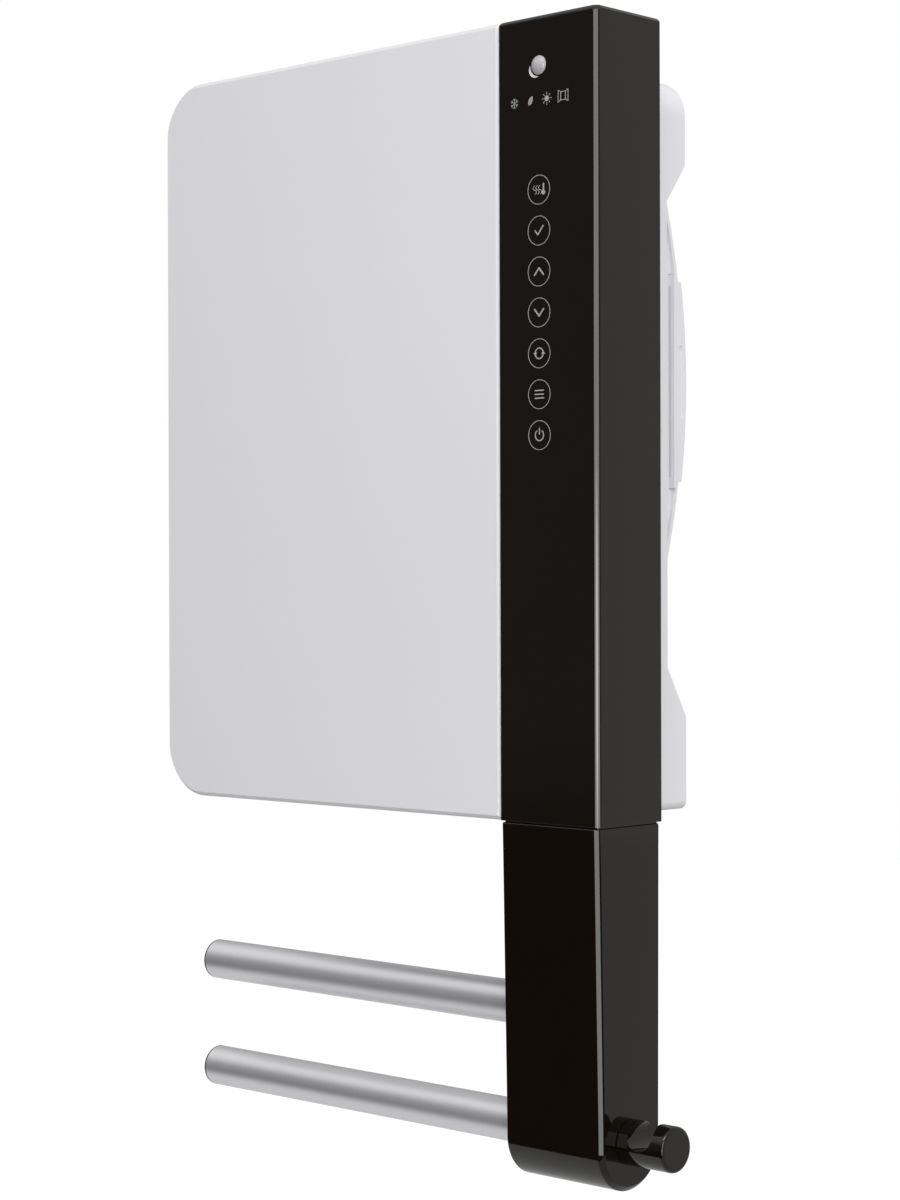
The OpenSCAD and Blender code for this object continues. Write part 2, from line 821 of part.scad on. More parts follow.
module outlet_grille() {
    slats = [4, 10];
    frame_w = 4;
    slat_t = 1.6;
    inner = [casing_x1 - casing_x0 - frame_w, duct_y1 - duct_y0 - 2 * (casing_t + frame_w)];
    pitch = [inner.x / slats.x, inner.y / slats.y];
    translate([casing_x0, duct_y0 + casing_t, 0])
        color("darkgray") along_z(house_z0, house_z0 + shell_t + 1) difference() {
            square(inner + [frame_w, 2 * frame_w]);
            for (i = [0:slats.x - 1], j = [0:slats.y - 1])
                translate([frame_w + i * pitch.x, frame_w + j * pitch.y]) square(pitch - [frame_w, slat_t]);
        }
}

module board_posts() {
    color("white") for (p = post_places) translate([p.x, 0, p.y]) {
        rod_y(panel_back_y, board_y, post_r);
        rod_y(board_y, board_y + board_t + 2, pin_r);
    }
}

module power_board() {
    color("darkgreen") difference() {
        translate([board_x, 0, board_z])
            along_y(board_y, board_y + board_t) plate2d([0, 0], board_size, [2, 2, 2, 2]);
        for (p = post_places) translate([p.x, 0, p.y]) rod_y(board_y - bite, board_y + board_t + bite, pin_r);
    }
}

module power_relays() {
    color("royalblue") for (i = [0:relay_count - 1])
        translate([board_x + relay_at.x + i * relay_pitch, board_y + board_t, board_z + relay_at.y])
            cube(relay_size);
}

module terminal_block() {
    pitch = block_size.x / block_ways;
    floor_t = 6;
    color("whitesmoke") translate([block_x, step_y, block_z]) difference() {
        cube(block_size);
        for (i = [0:block_ways - 1])
            translate([(i + 0.5) * pitch, 0, block_size.z / 2]) rod_y(floor_t, block_size.y + bite, 3);
    }
}

module cable_gland() {
    nut_l = flange_t + 1;
    color("lightgray") translate([gland_x, 0, gland_z]) difference() {
        union() {
            rod_y(inner_y - nut_l - flange_t, flat_y + flange_t, gland_r);
            rod_y(flat_y, flat_y + flange_t, flange_r);
            rod_y(inner_y - nut_l, inner_y, flange_r);
        }
        rod_y(inner_y - nut_l - flange_t - bite, flat_y + flange_t + bite, cable_r);
    }
}

module room_sensor() {
    color("white") translate([sensor_x, sensor_y, house_z0]) {
        cylinder(r = sensor_r, h = sensor_l);
        translate([0, 0, shell_t]) cylinder(r = sensor_r + 2, h = 3);
    }
}

// Column cover: rounded seen from the front, from the side and from above
module column_form() {
    top_soft = 2;
    top_r = 4.5;
    intersection() {
        along_y(front_y, column_back_y)
            plate2d([joint_x, seam_z], [right_x, top_z], [edge_soft, edge_soft, top_r, top_r]);
        along_x(joint_x, right_x)
            plate2d([front_y, seam_z], [column_back_y, top_z], [edge_soft, 0, 0, top_soft]);
        along_z(seam_z, top_z)
            plate2d([joint_x, front_y], [right_x, column_back_y], [edge_soft, column_r, 0, 0]);
    }
}

// Opening that the mast passes through
module mast_way(z0, z1) {
    block([mast_x0 - mast_gap, bar_y - mast_r - mast_gap, z0], [mast_x1 + mast_gap, mast_y1 + mast_gap, z1]);
}

module column_cover() {
    color("black") difference() {
        union() {
            difference() {
                column_form();
                block([joint_x + cover_t, pocket_y, seam_z + cover_t],
                      [right_x - cover_t, column_back_y + bite, top_z - cover_t]);
            }
            for (x = [control_x[0] + boss_inset, control_x[1] - boss_inset],
                 z = [control_z[0] + boss_inset, control_z[1] - boss_inset])
                translate([x, 0, z]) rod_y(pocket_y - bite, control_y, boss_r);
        }
        translate([key_x, 0, lens_z]) rod_y(front_y - bite, pocket_y + bite, lens_r + fit / 2);
        mast_way(seam_z - bite, seam_z + cover_t + bite);
    }
}

module column_back() {
    color("dimgray") difference() {
        block([joint_x + cover_t + fit, back_y, seam_z + cover_t + fit],
              [right_x - cover_t - fit, column_back_y, top_z - cover_t - fit]);
        for (p = column_holes) translate([p.x, 0, p.y]) rod_y(back_y - bite, column_back_y + bite, screw_r);
        for (z = spacer_z) translate([mast_x, 0, z]) rod_y(back_y - bite, column_back_y + bite, screw_r);
    }
}

module column_screws() {
    color("silver") for (p = column_holes) translate([p.x, 0, p.y]) {
        rod_y(back_y - head_h, back_y, head_r);
        rod_y(back_y, step_y + screw_tip, screw_r);
    }
}

module control_board() {
    color("darkgreen") along_y(control_y, control_y + board_t)
        plate2d([control_x[0], control_z[0]], [control_x[1], control_z[1]], [3, 3, 3, 3]);
}

module touch_pads() {
    color("darkslategray") for (z = key_z)
        translate([key_x, 0, z]) rod_y(pocket_y, control_y, ring_d / 2 - 2);
}

module light_guide() {
    well_r = 3.5;
    half_h = 5.5;
    end = 7;
    color("ivory") along_y(pocket_y, control_y) translate([icon_x, icon_z]) difference() {
        plate2d([-end, -half_h], [(icon_count - 1) * icon_pitch + end, half_h], [3, 3, 3, 3]);
        for (i = [0:icon_count - 1]) translate([i * icon_pitch, 0]) circle(well_r);
    }
}

module sensor_lens() {
    dome_h = 3.6;
    wall = 1.5;
    dome_r = (lens_r * lens_r + dome_h * dome_h) / (2 * dome_h);
    color("silver") translate([key_x, 0, lens_z]) difference() {
        union() {
            intersection() {
                translate([0, front_y - dome_h + dome_r, 0]) sphere(dome_r);
                rod_y(front_y - dome_h - bite, front_y, lens_r);
            }
            rod_y(front_y, pocket_y, lens_r);
            rod_y(pocket_y, pocket_y + 1, lens_r + 2);
        }
        rod_y(front_y + 0.5, pocket_y + 2, lens_r - wall);
    }
}

module sensor_ring() {
    crescent_r = lens_r - 1;
    clear_r = lens_r + 1;
    offset_r = 4;
    offset_a = 224;
    ring_t = 0.4;
    color("silver") along_y(front_y - ring_t, front_y) translate([key_x, lens_z]) difference() {
        translate(offset_r * [cos(offset_a), sin(offset_a)]) circle(crescent_r);
        circle(clear_r);
    }
}

module presence_sensor() {
    can_r = lens_r - 2;
    color("silver") translate([key_x, 0, lens_z]) {
        rod_y(pocket_y - 1, control_y, can_r);
        rod_y(control_y - 0.8, control_y, can_r + 0.8);
    }
}

// Pictograms over the keys: frost, leaf, sun and window
module frost_mark() {
    for (a = [30:60:330]) rotate(a) {
        stroke([0, 0], [3.3, 0], fine_w);
        stroke([2.1, 0], [3.1, 1], fine_w);
        stroke([2.1, 0], [3.1, -1], fine_w);
    }
}
module leaf_mark() {
    difference() {
        intersection() {
            translate([-2.2, 1.2]) circle(4.2);
            translate([2.2, -1.2]) circle(4.2);
        }
        rotate(61) translate([-3, -0.2]) square([5, 0.4]);
    }
}
module sun_mark() {
    circle(1.9);
    for (a = [0:45:315]) rotate(a) stroke([2.8, 0], [4.2, 0], mark_w);
}
module window_mark() {
    difference() {
        plate2d([-2.4, -3], [2.4, 3]);
        plate2d([-1.9, -2.5], [1.9, 2.5]);
    }
    for (side = [-1, 1]) {
        stroke([side * 2.2, 2.8], [side * 4.4, 4], mark_w);
        stroke([side * 2.2, -2.8], [side * 4.4, -4], mark_w);
        stroke([side * 4.4, 4], [side * 4.4, -4], mark_w);
    }
}

// Key glyphs from the top key down: heat, tick, up, down, cycle, list and power
module heat_glyph() {
    for (x = [-3.6, -1.2, 1.2]) translate([x, 0]) {
        translate([0, 1.3]) ring_part(1.4, mark_w, 90, 270);
        translate([0, -1.5]) ring_part(1.4, mark_w, -90, 90);
    }
    stroke([4.2, -1.5], [4.2, 3.6], 1.3);
    translate([4.2, -2.2]) circle(1.5);
}
module tick_glyph() {
    stroke([-3.4, 0], [-1, -2.8], 0.9);
    stroke([-1, -2.8], [3.8, 3], 0.9);
}
module chevron_glyph(way) {
    stroke([-4, -way * 2.2], [0, way * 2.4], 1.1);
    stroke([4, -way * 2.2], [0, way * 2.4], 1.1);
}
module cycle_glyph() {
    ring_part(3.6, 0.8, 20, 180);
    ring_part(3.6, 0.8, 200, 360);
    for (turn = [0, 180]) rotate(turn) polygon([[-5.2, 0.6], [-2, 0.6], [-3.6, -1.8]]);
}
module list_glyph() {
    for (z = [-2.6, 0, 2.6]) stroke([-3.8, z], [3.8, z], 0.8);
}
module power_glyph() {
    ring_part(3.7, 0.8, 125, 270);
    ring_part(3.7, 0.8, 270, 415);
    stroke([0, 0.6], [0, 4.6], 0.8);
}
module key_glyph(i) {
    if (i == 0) heat_glyph();
    if (i == 1) tick_glyph();
    if (i == 2) chevron_glyph(1);
    if (i == 3) chevron_glyph(-1);
    if (i == 4) cycle_glyph();
    if (i == 5) list_glyph();
    if (i == 6) power_glyph();
}

module key_marks() {
    color("lightgray") along_y(front_y - mark_t, front_y) {
        for (i = [0:key_count - 1]) translate([key_x, key_z[i]]) {
            difference() {
                circle(ring_d / 2);
                circle(ring_d / 2 - mark_w);
            }
            scale(ring_d / glyph_ring) key_glyph(i);
        }
        translate([icon_x, icon_z]) frost_mark();
        translate([icon_x + icon_pitch, icon_z]) leaf_mark();
        translate([icon_x + 2 * icon_pitch, icon_z]) sun_mark();
        translate([icon_x + 3 * icon_pitch, icon_z]) window_mark();
    }
}

// Arm body: a slice under the column drawn down to a drum a little below the lower bar's axis
module arm_form(t) {
    left = max(edge_soft - t, 0);
    right = max(column_r - t, 0);
    rear = max(rear_soft - t, 0);
    slice = 0.1;
    x0 = arm_x0 + t;
    x1 = arm_x1 - t;
    hull() {
        along_z(arm_top_z - t - slice, arm_top_z - t)
            plate2d([x0, front_y + t], [x1, bar_y + arm_rear_d - t], [left, right, rear, rear], $fn = 24);
        translate([x0, bar_y, arm_end_z]) rotate([0, 90, 0]) rotate_extrude($fn = 96)
            plate2d([0, 0], [arm_r - t, x1 - x0], [0, left, right, 0], $fn = 24);
    }
}

module arm_cover() {
    color("black") difference() {
        arm_form(0);
        arm_form(cover_t);
        mast_way(arm_top_z - cover_t - bite, arm_top_z + bite);
        for (z = [upper_bar_z, lower_bar_z])
            translate([0, bar_y, z]) rod_x(arm_x0 - bite, arm_x0 + cover_t + bite, plug_r + fit);
        translate([0, bar_y, lower_bar_z]) rod_x(arm_x1 - cover_t - bite, arm_x1 + bite, washer_r + fit);
    }
}

module arm_mast() {
    color("gray") difference() {
        block([mast_x0, bar_y - mast_r, mast_low_z], [mast_x1, mast_y1, mast_top_z]);
        block([mast_x0 + mast_t, bar_y - mast_r + mast_t, mast_low_z - bite],
              [mast_x1 - mast_t, mast_y1 - mast_t, mast_top_z + bite]);
        for (z = [upper_bar_z, lower_bar_z])
            translate([0, bar_y, z]) rod_x(mast_x0 - bite, mast_x0 + mast_t + bite, bolt_r);
        translate([0, bar_y, lower_bar_z]) rod_x(mast_x1 - mast_t - bite, mast_x1 + bite, bolt_r);
        translate([0, bar_y, upper_bar_z]) rod_x(mast_x1 - mast_t - bite, mast_x1 + bite, access_r);
        for (z = spacer_z) translate([mast_x, 0, z]) rod_y(mast_y1 - mast_t - bite, mast_y1 + bite, screw_r);
    }
}

module mast_spacers() {
    color("gray") for (z = spacer_z) difference() {
        block([mast_x0 + spacer_inset, mast_y1, z - spacer_h / 2],
              [mast_x1 - spacer_inset, back_y, z + spacer_h / 2]);
        translate([mast_x, 0, z]) rod_y(mast_y1 - bite, back_y + bite, screw_r);
    }
}

module mast_screws() {
    color("silver") for (z = spacer_z) translate([mast_x, 0, z]) {
        rod_y(mast_y1 - mast_t - head_h, mast_y1 - mast_t, head_r);
        rod_y(mast_y1 - mast_t, column_back_y, screw_r);
    }
}

module towel_bar(z) {
    color("silver") translate([0, bar_y, z]) difference() {
        rod_x(bar_x0 + cap_t, arm_x0, bar_r);
        rod_x(bar_x0 + cap_t - bite, arm_x0 + bite, bar_r - bar_t);
    }
}
module upper_towel_bar() {
    towel_bar(upper_bar_z);
}
module lower_towel_bar() {
    towel_bar(lower_bar_z);
}

module bar_end_caps() {
    color("dimgray") for (z = [upper_bar_z, lower_bar_z]) translate([bar_x0, bar_y, z]) {
        rotate([0, 90, 0]) rotate_extrude() plate2d([0, 0], [bar_r, cap_t], [0, cap_t / 2, 0, 0]);
        rod_x(cap_t, cap_t + cap_plug_l, plug_r);
    }
}

module bar_plugs() {
    color("silver") for (z = [upper_bar_z, lower_bar_z]) translate([0, bar_y, z]) difference() {
        rod_x(mast_x0 - plug_l, mast_x0, plug_r);
        rod_x(mast_x0 - plug_l - bite, mast_x0 + bite, bolt_r);
    }
}

module bar_screws() {
    color("dimgray") for (z = [upper_bar_z, lower_bar_z]) translate([0, bar_y, z]) {
        rod_x(mast_x0 - bolt_l, mast_x0 + mast_t, bolt_r);
        rod_x(mast_x0 + mast_t, mast_x0 + mast_t + bolt_head_h, bolt_head_r);
    }
}

// Robe hook: a round peg with a round notch across it, open at the top, behind the head
module robe_hook() {
    base_soft = 0.8;
    color("black") translate([arm_x1, bar_y, lower_bar_z]) difference() {
        rotate([0, 90, 0]) rotate_extrude() plate2d([0, 0], [hook_r, hook_l], [0, base_soft, hook_nose, 0]);
        translate([notch_at.x, 0, notch_at.y]) rod_y(-hook_r - bite, hook_r + bite, notch_r);
        rod_x(-bite, thread_l, bolt_r);
    }
}

module hook_spacer() {
    color("gray") translate([0, bar_y, lower_bar_z]) difference() {
        rod_x(mast_x1, arm_x1, washer_r);
        rod_x(mast_x1 - bite, arm_x1 + bite, bolt_r);
    }
}

module hook_stud() {
    color("dimgray") translate([0, bar_y, lower_bar_z]) {
        rod_x(mast_x1 - mast_t, arm_x1 + thread_l, bolt_r);
        rod_x(mast_x1 - mast_t - bolt_head_h, mast_x1 - mast_t, bolt_head_r);
    }
}

// Wall rails: a screwed plate, a ledge, and on the upper rail a lip that the housing hangs on
module upper_wall_rail() {
    color("silver") translate([0, 0, rail_z]) difference() {
        along_x(-rail_w / 2, rail_w / 2) {
            plate2d([-rail_t, -ledge_z], [0, ledge_z]);
            plate2d([-rail_d, ledge_z - rail_t], [0, ledge_z]);
            plate2d([-rail_d, ledge_z - rail_t], [-rail_d + rail_t, ledge_z + lip_h]);
        }
        for (side = [-1, 1])
            translate([side * screw_w / 2, 0, 0]) rod_y(-rail_t - bite, bite, screw_hole_d / 2);
    }
}

module lower_wall_rail() {
    color("silver") translate([0, 0, -rail_z]) difference() {
        along_x(-rail_w / 2, rail_w / 2) {
            plate2d([-rail_t, -ledge_z], [0, ledge_z]);
            plate2d([-rail_d, -ledge_z], [0, -ledge_z + rail_t]);
        }
        for (side = [-1, 1]) {
            translate([side * screw_w / 2, 0, 0]) rod_y(-rail_t - bite, bite, screw_hole_d / 2);
            translate([side * hanger_x, lock_y, -ledge_z - bite])
                cylinder(r = screw_r, h = rail_t + 2 * bite);
        }
    }
}

module rail_lock_screws() {
    shank_l = lug_h + hang_gap + rail_t + screw_tip;
    color("silver") for (side = [-1, 1]) translate([side * hanger_x, lock_y, lock_z - rail_z]) {
        translate([0, 0, -head_h]) cylinder(r = head_r, h = head_h);
        cylinder(r = screw_r, h = shank_l);
    }
}

front_panel();
heating_film();
insulation_board();
chassis_plate();
rear_housing();
housing_screws();
filter_cassette();
filter_mesh();
fan_casing();
fan_rotor();
rotor_shaft();
motor_rotor();
shaft_bush();
motor_stator();
motor_coil();
motor_brackets();
heater_frame();
heating_element();
thermal_cutout();
outlet_duct();
outlet_grille();
power_board();
board_posts();
power_relays();
terminal_block();
cable_gland();
room_sensor();
column_cover();
column_back();
column_screws();
control_board();
touch_pads();
light_guide();
sensor_lens();
sensor_ring();
presence_sensor();
key_marks();
arm_cover();
arm_mast();
mast_spacers();
mast_screws();
upper_towel_bar();
lower_towel_bar();
bar_end_caps();
bar_plugs();
bar_screws();
robe_hook();
hook_stud();
hook_spacer();
upper_wall_rail();
lower_wall_rail();
rail_lock_screws();
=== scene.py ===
from math import pi, radians

import bmesh
import bpy
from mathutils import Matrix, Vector


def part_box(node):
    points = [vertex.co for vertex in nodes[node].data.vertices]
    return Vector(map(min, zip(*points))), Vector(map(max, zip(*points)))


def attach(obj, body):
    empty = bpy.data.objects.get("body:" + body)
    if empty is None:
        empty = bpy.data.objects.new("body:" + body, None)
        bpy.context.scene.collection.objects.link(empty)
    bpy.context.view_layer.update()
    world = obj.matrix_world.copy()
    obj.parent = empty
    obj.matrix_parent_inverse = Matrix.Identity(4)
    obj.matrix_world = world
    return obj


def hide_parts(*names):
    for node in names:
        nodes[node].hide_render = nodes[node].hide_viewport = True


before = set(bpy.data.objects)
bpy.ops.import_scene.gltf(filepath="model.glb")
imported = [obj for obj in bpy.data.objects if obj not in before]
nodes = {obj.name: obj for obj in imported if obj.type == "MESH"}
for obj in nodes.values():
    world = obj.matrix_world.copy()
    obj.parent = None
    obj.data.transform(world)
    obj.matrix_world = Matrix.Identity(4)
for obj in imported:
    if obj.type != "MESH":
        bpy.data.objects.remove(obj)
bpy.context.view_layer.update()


# Camera, at the photograph's place: right of the radiator, at about its middle height, looking
# level but for a third of a degree down, with a trace of roll and no shift.
EYE = (1.3428, -1.4510, -0.1503)
TURN = radians(43.57)
PITCH = radians(-0.37)
ROLL = 0.0028
FOCAL, SENSOR = 78.49, 36

bpy.ops.object.camera_add(location=EYE, rotation=(pi / 2 + PITCH, ROLL, TURN))
camera = bpy.context.object
camera.name = "camera"
camera.data.lens = FOCAL
camera.data.sensor_width = SENSOR
bpy.context.scene.camera = camera
bpy.context.scene.view_settings.view_transform = "Standard"


# The studio: white all round for the camera. Gloss and metal mirror a brighter side behind the
# object and to its right, a pale ceiling, a dim side in front and one bright strip. Matt surfaces
# take a plain soft light, a little stronger from the upper right.
class Wire:
    """A shader socket that takes part in sums."""

    def __init__(self, tree, out=None):
        self.tree, self.out = tree, out

    def add(self, kind, settings=None, values=None, out=0):
        """Adds one node: its settings first, then the values or links of its sockets."""
        node = self.tree.nodes.new(kind)
        for name, value in (settings or {}).items():
            if name == "stops":
                ramp = node.color_ramp
                while len(ramp.elements) < len(value):
                    ramp.elements.new(0.5)
                for stop, (place, colour) in zip(ramp.elements, value):
                    stop.position, stop.color = place, colour
            else:
                setattr(node, name, value)
        for name, value in (values or {}).items():
            if isinstance(value, Wire):
                self.tree.links.new(value.out, node.inputs[name])
            else:
                node.inputs[name].default_value = value
        return Wire(self.tree, node.outputs[out] if node.outputs else None)

    def maths(self, operation, *values):
        return self.add("ShaderNodeMath", {"operation": operation}, dict(enumerate(values)))

    def step(self, start, end):
        """0 below start, 1 above end and a soft rise between them."""
        return self.add("ShaderNodeMapRange", {"interpolation_type": "SMOOTHSTEP"},
                        {"Value": self, "From Min": start, "From Max": end})

    def blend(self, low, high):
        """The colour low where this is 0 and high where it is 1."""
        return self.add("ShaderNodeMix", {"data_type": "RGBA"}, {0: self, 6: low, 7: high}, out=2)

    def __add__(self, other):
        return self.maths("ADD", self, other)

    __radd__ = __add__

    def __mul__(self, other):
        return self.maths("MULTIPLY", self, other)

    __rmul__ = __mul__

    def __sub__(self, other):
        return self.maths("SUBTRACT", self, other)

    def __rsub__(self, other):
        return self.maths("SUBTRACT", other, self)


def grey(value):
    return (value, value, value, 1)


UP, TO_WALL = (0, 0, 1), (0, 1, 0)
BRIGHT_SIDE = (0.69, 0.72, 0.12)
DIM, LOW_DIM, CEILING = 0.12, 0.03, 0.84
WALL_SHADES = ((0.0, DIM), (0.30, DIM), (0.50, 0.20), (0.70, 0.40), (0.95, 0.56))
LOW_RISE, FRONT_RISE = (-0.12, -0.05), (0.30, 0.50)
CEILING_RISE, REAR_RISE, REAR_LOSS = (0.24, 0.62), (0.0, 0.3), 0.6
STRIP_SIDE, STRIP_RISE, STRIP_PEAK = (0.743, -0.669, -0.03), (0.9960, 1.0), 8.0
LIGHT_FROM, SOFT_LEVEL, SOFT_SLOPE = (0.55, -0.10, 0.83), 0.675, 0.26

world = bpy.data.worlds.new("studio")
bpy.context.scene.world = world
world.use_nodes = True
world.node_tree.nodes.clear()
room = Wire(world.node_tree)
way = room.add("ShaderNodeTexCoord", out="Generated")


def toward(direction):
    """How far a ray goes one way: 1 straight along it, -1 straight against it."""
    return room.add("ShaderNodeVectorMath", {"operation": "DOT_PRODUCT"}, {0: way, 1: direction}, out="Value")


rays = room.tree.nodes.new("ShaderNodeLightPath")
is_camera = Wire(room.tree, rays.outputs["Is Camera Ray"])
is_glossy = Wire(room.tree, rays.outputs["Is Glossy Ray"])
across = toward(BRIGHT_SIDE) * 0.5 + 0.5  # 0 at the dim side, 1 at the bright one
walls = room.add("ShaderNodeValToRGB", {"stops": [(place, grey(shade)) for place, shade in WALL_SHADES]},
                 {"Fac": across})
low_in_front = (1 - toward(UP).step(*LOW_RISE)) * (1 - across.step(*FRONT_RISE))
overhead = toward(UP).step(*CEILING_RISE) * (1 - REAR_LOSS * toward(TO_WALL).step(*REAR_RISE))
mirrored = overhead.blend(low_in_front.blend(walls, grey(LOW_DIM)), grey(CEILING))
mirrored = toward(STRIP_SIDE).step(*STRIP_RISE).blend(mirrored, grey(STRIP_PEAK))
soft_light = toward(LIGHT_FROM) * SOFT_SLOPE + SOFT_LEVEL
seen = is_camera.blend(is_glossy.blend(soft_light, mirrored), grey(1.0))
backdrop = room.add("ShaderNodeBackground", None, {"Color": seen, "Strength": 1.0})
room.add("ShaderNodeOutputWorld", None, {"Surface": backdrop})


# Lamps: a broad soft one high in front to the right, and a tall strip to the right of the camera.
# With the bright strip behind it, that one draws the light line down the column's front corner.
def soft_lamp(name, place, aim, size, power):
    bpy.ops.object.light_add(type="AREA", location=place)
    lamp = bpy.context.object
    lamp.name = name
    lamp.data.shape = "RECTANGLE"
    lamp.data.size, lamp.data.size_y = size
    lamp.data.energy = power
    lamp.rotation_euler = (Vector(aim) - Vector(place)).to_track_quat("-Z", "Y").to_euler()


soft_lamp("key_lamp", place=(1.3, -2.0, 2.7), aim=(0, 0, -0.1), size=(1.6, 1.2), power=40)
soft_lamp("strip_lamp", place=(2.0, -1.75, -0.1), aim=(0.2, -0.1, -0.1), size=(0.9, 2.4), power=28)


# Floor: a pale studio floor well under the towel bars. It is white for the camera but for the
# shadow, and in gloss it shows as a pale sheet under the object with the dim room before it.
FLOOR_Z, FLOOR_SIZE = -1.35, 16
MATT, GLOW, GLOW_SHARE = 0.35, 1.34, 0.72
SHEET_LEFT, SHEET_RIGHT, SHEET_RISE = 0.72, 0.50, (0.3, 0.8)
FLOOR_EDGE, EDGE_BLUR, ROOM_BEFORE = -1.2, 0.04, 0.03

bpy.ops.mesh.primitive_plane_add(size=1, location=(0, 0, FLOOR_Z))
floor = bpy.context.object
floor.name = "floor"
floor.scale = (FLOOR_SIZE, FLOOR_SIZE, 1)
bpy.ops.object.transform_apply(location=True, rotation=True, scale=True)
pale = bpy.data.materials.new("pale_floor")
pale.use_nodes = True
pale.node_tree.nodes.clear()
ground = Wire(pale.node_tree)
rays = ground.tree.nodes.new("ShaderNodeLightPath")
from_camera = Wire(ground.tree, rays.outputs["Is Camera Ray"])
in_gloss = Wire(ground.tree, rays.outputs["Is Glossy Ray"])
place = ground.add("ShaderNodeTexCoord", out="Object")
aside = ground.add("ShaderNodeSeparateXYZ", None, {"Vector": place}, out="X")
depth = Wire(ground.tree, aside.out.node.outputs["Y"])
matt = ground.add("ShaderNodeBsdfDiffuse", None, {"Color": grey(MATT)})
glow = ground.add("ShaderNodeEmission", None, {"Color": grey(1.0), "Strength": GLOW})
behind = aside.step(*SHEET_RISE).blend(grey(SHEET_LEFT), grey(SHEET_RIGHT))
mirrored_floor = depth.step(FLOOR_EDGE - EDGE_BLUR, FLOOR_EDGE + EDGE_BLUR).blend(grey(ROOM_BEFORE), behind)
sheet = ground.add("ShaderNodeEmission", None, {"Color": mirrored_floor, "Strength": 1.0})
plain = ground.add("ShaderNodeMixShader", None, {0: from_camera * GLOW_SHARE, 1: matt, 2: glow})
surface = ground.add("ShaderNodeMixShader", None, {0: in_gloss, 1: plain, 2: sheet})
ground.add("ShaderNodeOutputMaterial", None, {"Surface": surface})
floor.data.materials.append(pale)


# Front panel: a tray of 1.5 mm steel folded and rolled at its edges, powder-coated light grey.
# Its two left corners are large rounds. It hooks over the chassis plate behind it.
AT_PLACE = 0.05  # how near an edge lies to the place where it is looked for, in millimetres
ALONG = 0.9      # the share of its length that an edge runs along an axis
FACING = 0.99    # how squarely a face looks the way that is asked for
CREASE = 32      # degrees over which an edge stays crisp


def fresh():
    """Leaves nothing selected."""
    if bpy.context.object and bpy.context.object.mode != "OBJECT":
        bpy.ops.object.mode_set(mode="OBJECT")
    bpy.ops.object.select_all(action="DESELECT")


def extent(node):
    """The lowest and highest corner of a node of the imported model, in millimetres."""
    low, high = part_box(node)
    return low * 1000, high * 1000


def settle(name):
    """Names the piece just added and puts its place into its mesh."""
    piece = bpy.context.object
    piece.name = piece.data.name = name
    bpy.ops.object.transform_apply(location=True, rotation=True, scale=True)
    return piece


def block(name, low, high):
    """A block between two corners in millimetres."""
    fresh()
    low, high = Vector(low) / 1000, Vector(high) / 1000
    bpy.ops.mesh.primitive_cube_add(size=1, location=(low + high) / 2)
    bpy.context.object.scale = high - low
    return settle(name)


def activate(piece):
    """Leaves only the piece selected."""
    fresh()
    piece.select_set(True)
    bpy.context.view_layer.objects.active = piece


def choose(piece, test=None):
    """Opens the piece for editing with all its faces selected, or only those that pass the test."""
    activate(piece)
    bpy.ops.object.mode_set(mode="EDIT")
    bpy.ops.mesh.select_mode(type="FACE")
    bpy.ops.mesh.select_all(action="DESELECT")
    mesh = bmesh.from_edit_mesh(piece.data)
    mesh.normal_update()
    for face in mesh.faces:
        if test is None or test(face):
            face.select_set(True)
    mesh.select_flush_mode()
    bmesh.update_edit_mesh(piece.data)


def edge_at(x=None, y=None, z=None):
    """A test for edges that lie wholly at the given millimetre places."""
    def test(edge):
        return all(place is None or all(abs(v.co[i] * 1000 - place) < AT_PLACE for v in edge.verts)
                   for i, place in enumerate((x, y, z)))
    return test


def front_to_back(edge):
    """Whether an edge runs from front to back."""
    way = edge.verts[1].co - edge.verts[0].co
    return abs(way.y) > ALONG * way.length


def facing_way(direction):
    """A test for faces that look one way."""
    def test(face):
        return face.normal.dot(Vector(direction)) > FACING
    return test


def both(first, second):
    """A test for what passes two tests."""
    return lambda part: first(part) and second(part)


def apply(piece, kind, **settings):
    """Gives the piece a modifier and applies it."""
    activate(piece)
    modifier = piece.modifiers.new(kind.lower(), kind)
    for name, value in settings.items():
        setattr(modifier, name, value)
    bpy.ops.object.modifier_apply(modifier=modifier.name)


def round_off(piece, *widths, segments=8, profile=0.5):
    """Rounds edges over in one pass. Each of widths is a test with a width in millimetres, or with a
    function that gives an edge's width, and the first test that fits an edge counts."""
    activate(piece)
    mesh = bmesh.new()
    mesh.from_mesh(piece.data)
    weight = mesh.edges.layers.float.new("bevel_weight_edge")
    chosen = []
    for edge in mesh.edges:
        width = next((width for test, width in widths if test(edge)), 0.0)
        chosen.append(width(edge) if callable(width) else width)
    widest = max(chosen)
    for edge, width in zip(mesh.edges, chosen):
        edge[weight] = width / widest
    mesh.to_mesh(piece.data)
    mesh.free()
    apply(piece, "BEVEL", width=widest / 1000, segments=segments, profile=profile, limit_method="WEIGHT",
          use_clamp_overlap=False, miter_outer="MITER_ARC")
    piece.data.attributes.remove(piece.data.attributes["bevel_weight_edge"])


def wall(piece, thickness):
    """Gives a shell its wall, inwards."""
    apply(piece, "SOLIDIFY", thickness=thickness / 1000, offset=-1, use_even_offset=True)


def smooth(piece):
    """Smooth shading with crisp edges, and flats that stay flat."""
    activate(piece)
    bpy.ops.object.shade_smooth_by_angle(angle=radians(CREASE))
    apply(piece, "WEIGHTED_NORMAL", keep_sharp=True, weight=60)


